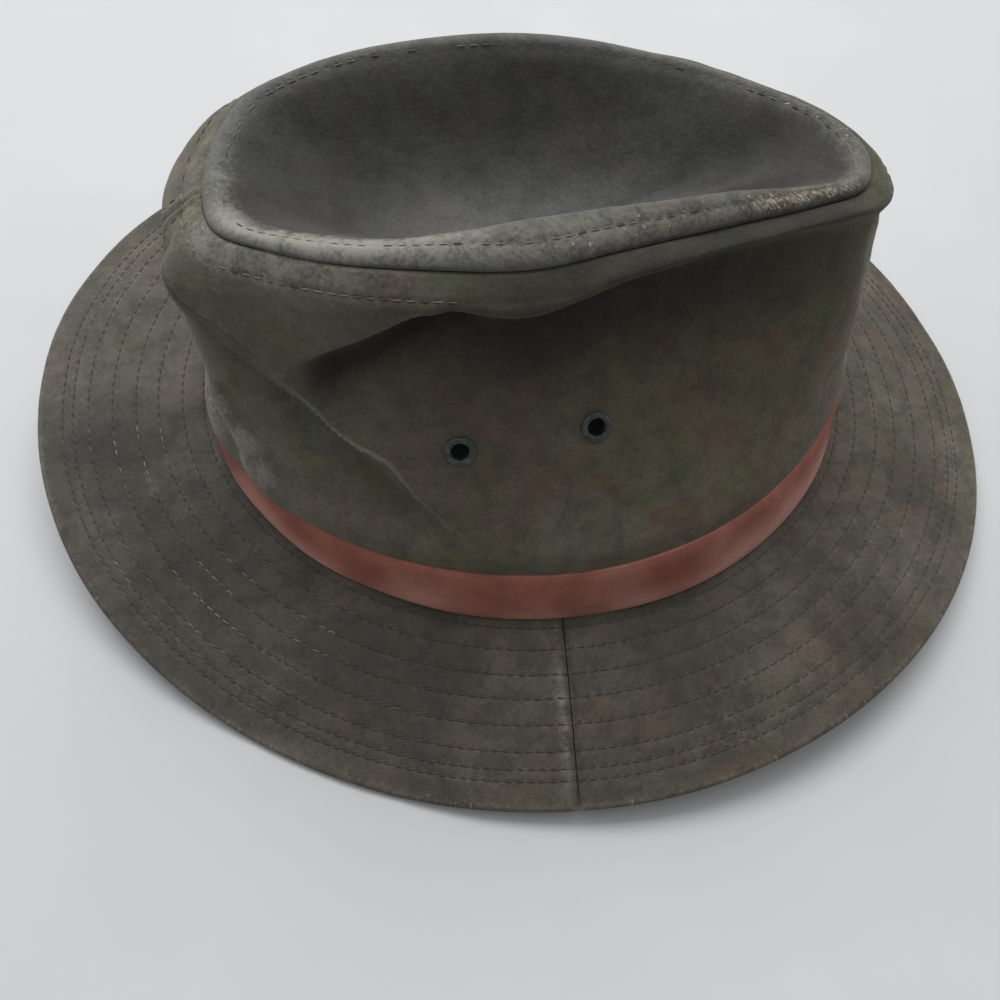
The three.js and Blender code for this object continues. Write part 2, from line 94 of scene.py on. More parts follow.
class Socket:
    """One output of a shader node. Its operators add Math nodes, and node() adds any other node."""

    def __init__(self, tree, output=None):
        self.tree = tree
        self.output = output

    def node(self, kind, settings=None, values=None, out=0):
        """Adds a node, sets its settings, then its sockets' values or links, and returns one output."""
        made = self.tree.nodes.new(kind)
        for key, value in (settings or {}).items():
            if key == "stops":
                ramp = made.color_ramp.elements
                while len(ramp) < len(value):
                    ramp.new(0.5)
                for element, (place, colour) in zip(ramp, value):
                    element.position = place
                    element.color = (*colour, 1)
            else:
                setattr(made, key, value)
        for key, value in (values or {}).items():
            if isinstance(value, Socket):
                self.tree.links.new(value.output, made.inputs[key])
            elif isinstance(value, tuple) and len(value) == 3 and made.inputs[key].type == "RGBA":
                made.inputs[key].default_value = (*value, 1)
            else:
                made.inputs[key].default_value = value
        return Socket(self.tree, made.outputs[out])

    def sum_of(self, operation, *values):
        return self.node("ShaderNodeMath", {"operation": operation}, dict(enumerate(values)))

    def __add__(self, other):
        return self.sum_of("ADD", self, other)

    def __sub__(self, other):
        return self.sum_of("SUBTRACT", self, other)

    def __rsub__(self, other):
        return self.sum_of("SUBTRACT", other, self)

    def __mul__(self, other):
        return self.sum_of("MULTIPLY", self, other)

    def __truediv__(self, other):
        return self.sum_of("DIVIDE", self, other)

    __radd__ = __add__
    __rmul__ = __mul__

    def ramp(self, low, high):
        """Nought below low, one above high, and a smooth rise between."""
        return self.node("ShaderNodeMapRange", {"interpolation_type": "SMOOTHSTEP"},
                         {0: self, 1: low, 2: high, 3: 0.0, 4: 1.0})

    def blend(self, first, second):
        """Colour first where this socket is nought, and second where it is one."""
        return self.node("ShaderNodeMix", {"data_type": "RGBA"}, {0: self, 6: first, 7: second}, 2)

    def noise(self, scale, detail=2.0, rough=0.5, distort=0.0):
        """Cloudy noise at this vector, about nought to one."""
        return self.node("ShaderNodeTexNoise", {"noise_dimensions": "3D"},
                         {"Vector": self, "Scale": scale, "Detail": detail, "Roughness": rough,
                          "Distortion": distort})

    def stretched(self, scale, turn=(0, 0, 0)):
        """This vector turned, then scaled on each axis."""
        return self.node("ShaderNodeMapping", {"vector_type": "POINT"},
                         {"Vector": self, "Scale": scale, "Rotation": turn})


def new_material(name):
    """A material with its tree wrapped, and its Principled shader's inputs."""
    material = bpy.data.materials.new(name)
    material.use_nodes = True
    tree = material.node_tree
    return material, Socket(tree), tree.nodes["Principled BSDF"].inputs


def place_of(nodes):
    return nodes.node("ShaderNodeTexCoord", out=3)


def mark_of(nodes, name):
    """The value of one of the mesh's own point attributes."""
    return nodes.node("ShaderNodeAttribute", {"attribute_name": name}, out=2)


def bumped(nodes, inputs, height, distance, strength=1.0):
    """Feeds a height, in shares of distance, to the Normal through a Bump node."""
    normal = nodes.node("ShaderNodeBump", None,
                        {"Height": height, "Distance": distance, "Strength": strength})
    nodes.tree.links.new(normal.output, inputs["Normal"])


def feed(nodes, inputs, name, socket):
    nodes.tree.links.new(socket.output, inputs[name])


room = bpy.data.worlds.new("room")
bpy.context.scene.world = room
room.use_nodes = True
room_nodes = Socket(room.node_tree)
way = room_nodes.node("ShaderNodeTexCoord", out=0)
facing = way.node("ShaderNodeVectorMath", {"operation": "DOT_PRODUCT"}, {0: way, 1: ROOM_BRIGHT_WAY}, 1)
glow = facing.ramp(-0.6, 0.95).blend(ROOM_DIM, ROOM_BRIGHT)
room.node_tree.links.new(glow.output, room.node_tree.nodes["Background"].inputs["Color"])

floor_material, nodes, inputs = new_material("pale_floor")
speckle = place_of(nodes).noise(14, 4, 0.6).ramp(0.3, 0.75)
feed(nodes, inputs, "Base Color", speckle.blend(tuple(0.965 * c for c in FLOOR_COLOUR), FLOOR_COLOUR))
inputs["Roughness"].default_value = 0.5
inputs["Specular IOR Level"].default_value = 0.35
floor_mesh = bpy.data.meshes.new("floor")
FLOOR_HALF = 5.0
FLOOR_DEPTH = 0.00005
floor_mesh.from_pydata([(-FLOOR_HALF, -FLOOR_HALF, -FLOOR_DEPTH), (FLOOR_HALF, -FLOOR_HALF, -FLOOR_DEPTH),
                        (FLOOR_HALF, FLOOR_HALF, -FLOOR_DEPTH), (-FLOOR_HALF, FLOOR_HALF, -FLOOR_DEPTH)],
                       [], [(0, 1, 2, 3)])
floor = bpy.data.objects.new("floor", floor_mesh)
bpy.context.scene.collection.objects.link(floor)
floor_mesh.materials.append(floor_material)


# The crown's wall. One length of napped leather, sewn end to end at the back and shrunk by wear into
# soft folds: the side under the rim has sunk in, and a long crease runs down from the rear of the rim.
CROWN_LENGTH = 206 * MM
CROWN_WIDTH = 172 * MM
CROWN_HEIGHT = 100 * MM
CROWN_FORWARD = 1.4 * MM
WALL_THICK = 1.8 * MM
FOOT_BELLY = 2 * MM
DENT_DEPTH = 12 * MM
LIP = 10 * MM
TIP_LENGTH = 178 * MM
TIP_WIDTH = 82 * MM
SEAT_HEIGHT = 21.3 * MM
SEAT_DROP = 2.7 * MM
SEWN = 0.3 * MM
BAND_WIDTH = 18 * MM
BACK_SEAM_TURN = 187

SECTION_NAMES = ("turn", "seam_x", "seam_y", "seam_up", "lip_out", "lip_down", "under_in", "tuck_in",
                 "waist_in", "foot_out", "crest_in", "crest_up", "steep")
SECTIONS = dict(zip(SECTION_NAMES, np.array([
    (0, 1.01, .17, .89, .72, .45, .12, .05, .00, -.2, .50, .20, 1.2),
    (15, .99, .39, .90, .54, .38, .08, .00, -.05, -.2, .40, .20, 1.6),
    (30, .87, .61, .92, .50, .34, .05, .05, .00, .0, .40, .20, 2.0),
    (60, .47, .91, .97, .48, .42, .10, .20, .10, .5, .40, .20, 2.2),
    (90, -.01, 1.06, 1.00, .30, .60, .15, .30, .20, .7, .40, .20, 2.2),
    (120, -.50, .955, .98, .20, .60, .15, .30, .20, .5, .40, .20, 2.2),
    (150, -.85, .64, .94, .75, .65, .10, .15, .10, .2, .40, .20, 2.2),
    (170, -.955, .23, .92, 1.15, .80, .00, -.05, .00, -.3, .40, .20, 2.2),
    (190, -.96, -.25, .92, 1.15, .90, -.10, -.10, .08, -.6, .40, .20, 2.0),
    (205, -.90, -.55, .93, 1.05, 1.00, -.10, -.10, .05, .1, .40, .20, 1.4),
    (220, -.75, -.72, .95, .80, 1.00, .00, .00, .05, .8, .40, .20, 1.2),
    (238, -.53, -.88, .98, .70, .95, .15, .35, .20, 1.0, .50, .25, 1.2),
    (255, -.26, -.95, 1.00, .65, .60, .75, 1.05, .40, 1.0, .70, .45, 1.4),
    (270, -.03, -.935, 1.00, .65, .90, 1.05, 1.40, .65, 1.0, .90, .70, 1.8),
    (285, .21, -.76, .99, .60, .36, 1.05, 1.45, .90, .9, .90, .70, 2.4),
    (300, .43, -.57, .97, .55, .25, .95, 1.30, .85, .7, .90, .70, 2.6),
    (315, .64, -.37, .94, .55, .20, .85, 1.05, .60, .4, .90, .65, 2.4),
    (330, .82, -.19, .91, .60, .18, .65, .70, .30, .0, .80, .55, 2.2),
    (345, .96, -.02, .89, .72, .28, .35, .30, .08, -.2, .60, .40, 1.8),
]).T))
KEY_LINE = (0, 0.24, 0.55, 0.84, 0.92, 1, 1)
KEY_ALONG = np.array((0, 0.2, 0.45, 0.72, 0.81, 0.88, 1))

FOLD_FADE = 0.1
FOLD_FOOT = 0.3
FOLD_SHARPNESS = 4
FOLDS = (
    # turn and height share of both ends, ridge, hollow, spread
    (196, 0.92, 256, 0.30, 0.26, 0.34, 0.75),
    (204, 0.42, 228, 0.18, 0.16, 0.16, 0.8),
    (229, 0.685, 256, 0.875, 0.10, 0.56, 0.85),
)

# Painted shade: the colour is darkened under these folds, where their shade falls
SHADED_FOLDS = (
    (228, 0.67, 258, 0.885, 0, 1.0, 0.8),
    (197, 0.89, 230, 0.54, 0, 0.25, 0.35),
)

# The long crease's points by turn and height share
LONG_CREASE = ((199, 0.895), (214, 0.775), (226.5, 0.625), (236, 0.505), (246.5, 0.42), (258, 0.25))

# Other lines in the leather: turn and height share of both ends, height and half width in mm
CREASES = (
    (240, 0.50, 243, 0.430, 0.3, 0.7),
    (243.5, 0.455, 246.5, 0.430, 0.3, 0.7),
    (205, 0.45, 224, 0.180, 0.9, 3.2),
    (210, 0.44, 222, 0.260, -0.6, 2.2),
    (214, 0.36, 232, 0.190, 0.6, 2.4),
    (252, 0.30, 259, 0.250, 0.35, 1.0),
    (262, 0.24, 268, 0.215, -0.3, 1.0),
    (268, 0.28, 276, 0.270, 0.25, 1.2),
    (274, 0.46, 274, 0.240, 0.25, 1.3),
    (246, 0.24, 250, 0.180, -0.35, 1.2),
    (232, 0.29, 239, 0.200, -0.4, 1.4),
    (318, 0.32, 326, 0.220, 0.3, 1.4),
    (118, 0.66, 140, 0.420, 0.5, 2.0),
    (52, 0.30, 70, 0.220, -0.4, 1.8),
    (150, 0.30, 166, 0.240, 0.4, 1.8),
)


def cubic(first, last, slope_first, slope_last, span, s):
    """The cubic from first to last over a span, with its slope given at both ends. s is the share."""
    return (first * (2 * s ** 3 - 3 * s ** 2 + 1) + last * (3 * s ** 2 - 2 * s ** 3)
            + span * (slope_first * (s ** 3 - 2 * s ** 2 + s) + slope_last * (s ** 3 - s ** 2)))


def around(table, name, turn):
    """A table's column as a closed curve by turn: a cubic between neighbouring rows, whose slope at
    each row is that of the straight line between the rows on either side."""
    at = table["turn"]
    value = table[name]
    turn = np.mod(turn, 360)
    k = np.searchsorted(at, turn, side="right") - 1
    n = (k + 1) % len(at)
    slope = (np.roll(value, -1) - np.roll(value, 1)) / np.mod(np.roll(at, -1) - np.roll(at, 1), 360)
    span = np.mod(at[n] - at[k], 360)
    return cubic(value[k], value[n], slope[k], slope[n], span, (turn - at[k]) / span)


def seat_at(x):
    """Height of the brim's top under the crown: a plane that drops towards the front."""
    return SEAT_HEIGHT - SEAT_DROP * (x - CROWN_FORWARD) / CROWN_LENGTH


def foot_point(turn):
    """The base oval, on the seat."""
    x = CROWN_FORWARD + CROWN_LENGTH / 2 * np.cos(np.radians(turn))
    y = CROWN_WIDTH / 2 * np.sin(np.radians(turn))
    return np.stack([x, y, seat_at(x) + SEWN], -1)


def unit(vectors):
    """Vectors scaled to a length of one."""
    return vectors / np.linalg.norm(vectors, axis=-1, keepdims=True)


def outward(turn):
    """Unit direction away from the base oval, level."""
    way = np.stack([np.cos(np.radians(turn)) / CROWN_LENGTH, np.sin(np.radians(turn)) / CROWN_WIDTH,
                    np.zeros_like(turn)], -1)
    return unit(way)


def seam_point(turn):
    """The line along which wall and tip are sewn: an oval drawn by the sections' shares."""
    x = CROWN_FORWARD + TIP_LENGTH / 2 * around(SECTIONS, "seam_x", turn)
    y = TIP_WIDTH / 2 * around(SECTIONS, "seam_y", turn)
    return np.stack([x, y, seat_at(x) + CROWN_HEIGHT * around(SECTIONS, "seam_up", turn)], -1)


def fold_at(turn, up, folds=FOLDS):
    """Outward move of the folds: a rounded ridge along each line, and a hollow on its lower side."""
    per_turn = CROWN_WIDTH * math.pi / 360
    move = np.zeros(np.broadcast(turn, up).shape)
    for turn_a, up_a, turn_b, up_b, ridge, hollow, spread in folds:
        along = np.array(((turn_b - turn_a) * per_turn, (up_b - up_a) * CROWN_HEIGHT))
        right = (turn - turn_a) * per_turn
        above = (up - up_a) * CROWN_HEIGHT
        length = np.hypot(*along)
        run = (right * along[0] + above * along[1]) / length ** 2
        across = (right * along[1] - above * along[0]) / length / (spread * DENT_DEPTH)
        past = np.maximum(0, np.abs(run - 0.5) - 0.5 + FOLD_FADE) / FOLD_FADE
        rise = ridge * np.exp(-FOLD_SHARPNESS * across ** 2)
        sink = hollow * np.maximum(0, across) * np.exp(1 - across ** 2)
        move += DENT_DEPTH * np.exp(-past ** 2) * (rise - sink)
    return move * np.minimum(1, up / FOLD_FOOT) ** 2


def wall_point(turn, up):
    """A smooth line up through the base, foot, waist, tuck, lip and seam at each turn, plus the folds."""
    turn, up = np.broadcast_arrays(np.asarray(turn, float), np.asarray(up, float))
    base = foot_point(turn)
    seam = seam_point(turn)
    out = outward(turn)
    edge = seam + out * (LIP * around(SECTIONS, "lip_out", turn))[..., None]
    edge[..., 2] -= LIP * around(SECTIONS, "lip_down", turn)
    moves = (np.zeros_like(turn), FOOT_BELLY * around(SECTIONS, "foot_out", turn),
             -DENT_DEPTH * around(SECTIONS, "waist_in", turn),
             -DENT_DEPTH * around(SECTIONS, "tuck_in", turn),
             -DENT_DEPTH * around(SECTIONS, "under_in", turn), np.zeros_like(turn))
    keys = np.stack([base + (edge - base) * line + out * move[..., None]
                     for line, move in zip(KEY_LINE, moves)] + [seam])
    before = np.maximum(np.arange(7) - 1, 0)
    after = np.minimum(np.arange(7) + 1, 6)
    span = (KEY_ALONG[after] - KEY_ALONG[before]).reshape(-1, *(1,) * (keys.ndim - 1))
    slopes = (keys[after] - keys[before]) / span
    k = np.clip(np.searchsorted(KEY_ALONG, up, side="right") - 1, 0, 5)

    def pick(values, shift):
        return np.take_along_axis(values, (k + shift)[None, ..., None], 0)[0]

    span = (KEY_ALONG[k + 1] - KEY_ALONG[k])[..., None]
    s = (up - KEY_ALONG[k])[..., None] / span
    point = cubic(pick(keys, 0), pick(keys, 1), pick(slopes, 0), pick(slopes, 1), span, s)
    return point + out * fold_at(turn, up)[..., None]


TURN_STEP = 0.4
ALONG_STEP = 0.008


def normal_of(surface, turn, along):
    """Unit normal from the surface's slopes round the hat and along it."""
    a = surface(turn - TURN_STEP, along)
    b = surface(turn + TURN_STEP, along)
    c = surface(turn, np.maximum(0, along - ALONG_STEP))
    d = surface(turn, np.minimum(1, along + ALONG_STEP))
    return unit(np.cross(b - a, d - c))


def hump(distance, width):
    """A bell that is one at nought and falls to 1/e at the width."""
    return np.exp(-(distance / width) ** 2)


def ripples(points, length, seed, count=14):
    """A soft unevenness, about -1 to 1: seeded plane waves in all directions, added."""
    rng = np.random.default_rng(seed)
    way = unit(rng.normal(size=(count, 3)))
    way *= (2 * math.pi / length / rng.uniform(0.7, 1.6, count))[:, None]
    phase = rng.uniform(0, 2 * math.pi, count)
    return np.sin(points @ way.T + phase).sum(-1) / math.sqrt(count * 2)


def table_at(turn, rows):
    """Straight lines between (turn, value) rows, closed round the hat."""
    turns, values = np.array(rows, float).T
    return np.interp(np.mod(turn, 360), np.append(turns, 360), np.append(values, values[0]))


def line_relief(turn, up, rows):
    """Narrow ridges and grooves in mm: a bell across each line that fades at its ends."""
    per_turn = CROWN_WIDTH * math.pi / 360 / MM
    relief = np.zeros(np.broadcast(turn, up).shape)
    for turn_a, up_a, turn_b, up_b, height, width in rows:
        along = np.array(((turn_b - turn_a) * per_turn, (up_b - up_a) * CROWN_HEIGHT / MM))
        right = (turn - turn_a) * per_turn
        above = (up - up_a) * CROWN_HEIGHT / MM
        length = np.hypot(*along)
        run = (right * along[0] + above * along[1]) / length ** 2
        across = (right * along[1] - above * along[0]) / length
        past = np.maximum(0, np.abs(run - 0.5) - 0.38) / 0.12
        relief += height * np.exp(-past ** 2) * np.exp(-np.abs(across) ** 1.5 / width ** 1.5)
    return relief


def crease_at(turn, up):
    """Distance in mm to the long crease, positive above it, and how far along the crease that is."""
    scale = (CROWN_WIDTH * math.pi / 360 / MM, CROWN_HEIGHT / MM)
    line = np.array(LONG_CREASE) * scale
    spot = np.stack(np.broadcast_arrays(turn * scale[0], up * scale[1]), -1)
    distance = np.full(spot.shape[:-1], 1e9)
    along = np.zeros(spot.shape[:-1])
    for k, (a, b) in enumerate(zip(line[:-1], line[1:])):
        step = b - a
        share = np.clip((spot - a) @ step / (step @ step), 0, 1)
        off = spot - a - share[..., None] * step
        far = np.linalg.norm(off, axis=-1)
        nearer = far < np.abs(distance)
        side = np.where(step[0] * off[..., 1] - step[1] * off[..., 0] < 0, -1, 1)
        distance = np.where(nearer, far * side, distance)
        along = np.where(nearer, (k + share) / (len(line) - 1), along)
    return distance, along


# In mm: how far the stitching lies from the seam, the seam's depth and softness, and the stitches' pitch.
# Where no row lies, a surface is this far from one.
TIP_STITCH_IN = 6.6
WALL_STITCH_IN = 7.2
SEAM_DIP = 0.75
SEAM_SOFT = 0.65
STITCH_PITCH = 3.3
NO_STITCHES = 9


def seam_relief(distance, row):
    """Beside a sewn seam, in mm: the edge turns in sharply, with a soft swelling next to it and a
    shallow valley under the topstitching."""
    return (-SEAM_DIP * hump(distance, SEAM_SOFT) + 0.16 * hump(distance - 3.0, 1.8)
            - 0.18 * hump(distance - row, 1.0))


def back_seam_relief(points, turn):
    """A groove straight up the back, in mm, with a swelling on either side of it."""
    side = np.abs(np.mod(turn - BACK_SEAM_TURN + 180, 360) - 180) * math.radians(1) * CROWN_LENGTH / 2 / MM
    return -0.7 * hump(side, 0.7) + 0.3 * hump(side - 2.4, 1.5) - 0.2 * hump(side - 5, 0.8)


def wall_relief(turn, up, points):
    """Fine relief of the wall in mm, along its normal."""
    from_seam = np.linalg.norm(points - seam_point(turn), axis=-1) / MM
    rise = (points[..., 2] - seat_at(points[..., 0])) / MM
    full = table_at(turn, [(0, 1), (150, 1), (180, .5), (192, .45), (202, .6), (212, .9), (240, 1)])
    slump = hump(np.mod(turn, 360) - 211, 13) + 0.5 * hump(np.mod(turn, 360) - 232, 14)
    puff = 1.5 * full * hump(rise - 23.5, 5.5) + 2.7 * slump * hump(rise - 23, 7)
    uneven = 0.45 * ripples(points, 34 * MM, 11) + 0.16 * ripples(points, 12 * MM, 12)
    uneven += 0.06 * ripples(points, 5 * MM, 13)
    held = np.clip((rise - 16) / 10, 0, 1)
    from_crease, along = crease_at(turn, up)
    ends = np.clip(8 * along, 0, 1) * np.clip(6 - 6 * along, 0, 1)
    ridge = 0.55 * np.exp(-np.abs(from_crease) / 1.6) * ends
    return (seam_relief(from_seam, WALL_STITCH_IN) + back_seam_relief(points, turn) + puff
            + held * (uneven + ridge + line_relief(turn, up, CREASES)))


def dressed(surface, relief, seam_at, turn, along):
    """A surface with its relief: each point moves along its normal, which leans to the normal that both
    sewn pieces share as it nears their seam. Gives points and normals."""
    turn, along = np.broadcast_arrays(np.asarray(turn, float), np.asarray(along, float))
    points = surface(turn, along)
    normals = normal_of(surface, turn, along)
    if seam_at is not None:
        shared = seam_normal(turn)
        near = hump(np.linalg.norm(points - seam_point(turn), axis=-1) / MM, 3)[..., None]
        normals = unit(normals + (shared - normals) * near)
    return points + normals * (relief(turn, along, points) * MM)[..., None], normals


TIP_THICK = 1.8 * MM
ROLL = 10 * MM
DISH_DEPTH = 30 * MM
DISH_BEHIND = 10 * MM
CREST_AT = 0.2


def tip_point(turn, inwards):
    """From the seam over a rolled crest, then down into the dish. Past the crest the height falls by a
    smooth step of the share left, raised to a power that sets how late it levels out."""
    turn, inwards = np.broadcast_arrays(np.asarray(turn, float), np.asarray(inwards, float))
    seam = seam_point(turn)
    middle_x = CROWN_FORWARD - DISH_BEHIND
    middle = np.stack([np.full_like(turn, middle_x), np.zeros_like(turn), seam[..., 2]], -1)
    bottom = seat_at(middle_x) + CROWN_HEIGHT - DISH_DEPTH
    reach = np.linalg.norm(middle - seam, axis=-1)
    crest_in = ROLL * around(SECTIONS, "crest_in", turn)
    crest_up = ROLL * around(SECTIONS, "crest_up", turn)
    first = np.clip(inwards / CREST_AT, 0, 1)
    then = np.clip((inwards - CREST_AT) / (1 - CREST_AT), 0, 1)
    level = np.where(inwards < CREST_AT, crest_in * first, crest_in + (reach - crest_in) * then) / reach
    point = seam + (middle - seam) * level[..., None]
    left = (1 - then) ** around(SECTIONS, "steep", turn)
    over = seam[..., 2] + crest_up * np.sin(first * math.pi / 2)
    dish = bottom + (seam[..., 2] + crest_up - bottom) * left ** 2 * (3 - 2 * left)
    point[..., 2] = np.where(inwards < CREST_AT, over, dish)
    return point


def seam_normal(turn):
    """Half way between the two pieces' own normals at their seam."""
    walls = normal_of(wall_point, turn, np.ones_like(turn))
    tips = normal_of(tip_point, turn, np.zeros_like(turn))
    return unit(walls + tips)


def along_at(surface, turn, start, end, length, steps=60):
    """The share along the surface at which the way from start has run a given length, at each turn."""
    shares = np.linspace(start, end, steps)
    points = surface(turn[:, None], shares[None, :])
    run = np.concatenate([np.zeros((len(turn), 1)),
                          np.cumsum(np.linalg.norm(np.diff(points, axis=1), axis=-1), 1)], 1)
    k = np.clip((run < length).sum(1) - 1, 0, steps - 2)
    rows = np.arange(len(turn))
    s = (length - run[rows, k]) / (run[rows, k + 1] - run[rows, k])
    return shares[k] + (shares[k + 1] - shares[k]) * s


def run_along(path):
    """Length in mm from the start of a line of points to each of them."""
    return np.append(0, np.cumsum(np.linalg.norm(np.diff(path, axis=0), axis=-1))) / MM


SHARP_ANGLE = math.radians(50)


def grid_object(name, grid, closed_round, material, uv=None, marks=None, gap=None, drop=None, rim=()):
    """A closed shell from a grid of points. Rows are its profile, whose last row joins the first, and
    columns go round the hat. gap is a row after which the profile is open, each side closed at a pole.
    drop marks quads to leave out, and rim adds faces."""
    rows, columns = grid.shape[:2]
    points = grid.reshape(-1, 3)
    r = np.arange(rows)
    if gap is not None:
        r = np.delete(r, gap)
    c = np.arange(columns if closed_round else columns - 1)
    r, c = (v.ravel() for v in np.meshgrid(r, c, indexing="ij"))
    if drop is not None:
        keep = ~drop[r, c]
        r, c = r[keep], c[keep]
    n = (r + 1) % rows
    m = (c + 1) % columns
    faces = np.stack([r * columns + c, r * columns + m, n * columns + m, n * columns + c], 1).tolist()
    uv_rows = [(r, c), (r, c + 1), (n, c + 1), (n, c)]
    uv_values = [np.stack([uv[a, b] for a, b in uv_rows], 1).reshape(-1, 2)] if uv is not None else []
    faces += [list(face) for face in rim]
    extra_corners = sum(len(face) for face in rim)
    marks = {key: value.ravel() for key, value in (marks or {}).items()}
    if gap is not None:
        poles = np.stack([points[gap * columns:(gap + 1) * columns].mean(0),
                          points[(gap + 1) * columns:(gap + 2) * columns].mean(0)])
        first = len(points)
        points = np.concatenate([points, poles])
        around_it = np.arange(columns)
        beyond = (around_it + 1) % columns
        faces += np.stack([gap * columns + around_it, gap * columns + beyond,
                           np.full(columns, first)], 1).tolist()
        faces += np.stack([(gap + 1) * columns + beyond, (gap + 1) * columns + around_it,
                           np.full(columns, first + 1)], 1).tolist()
        extra_corners += 6 * columns
        marks = {key: np.append(value, (value[gap * columns], value[(gap + 1) * columns]))
                 for key, value in marks.items()}
    if not closed_round:
        faces.append((np.arange(rows) * columns).tolist())
        faces.append((np.arange(rows)[::-1] * columns + columns - 1).tolist())
        extra_corners += 2 * rows
    mesh = bpy.data.meshes.new(name)
    mesh.from_pydata(points.tolist(), [], faces)
    mesh.polygons.foreach_set("use_smooth", np.ones(len(faces), bool))
    mesh.set_sharp_from_angle(angle=SHARP_ANGLE)
    if uv is not None:
        layer = mesh.uv_layers.new(name="run")
        values = np.concatenate(uv_values + [np.full((extra_corners, 2), uv_values[0][0])])
        layer.data.foreach_set("uv", values.ravel().astype(np.float32))
    for key, value in marks.items():
        mesh.attributes.new(key, "FLOAT", "POINT").data.foreach_set("value", value.astype(np.float32))
    mesh.materials.append(material)
    made = bpy.data.objects.new(name, mesh)
    bpy.context.scene.collection.objects.link(made)
    return made


# Colours of the napped leather: its own olive, clouds of grey, rust, green and dark, the painted shade of
# hollows and folds, a painted grey for the light from the left, the two pale tones of rubbed crests, which
# in places also stand for painted highlights, and the flesh where the surface is gone
OLIVE = (0.113, 0.096, 0.059)
GREY = (0.135, 0.127, 0.108)
RUST = (0.128, 0.080, 0.054)
MOSS = (0.096, 0.104, 0.050)
DARK = (0.046, 0.045, 0.041)
PAINTED_SHADE_DARK = (0.030, 0.028, 0.025)
ASHEN = (0.132, 0.132, 0.124)
RUBBED = (0.250, 0.236, 0.188)
RUBBED_ASHEN = (0.275, 0.268, 0.250)
FLESH = (0.62, 0.52, 0.40)

# The crease attribute holds the distance in mm plus this, so that it is never below nought
CREASE_SHIFT = 10


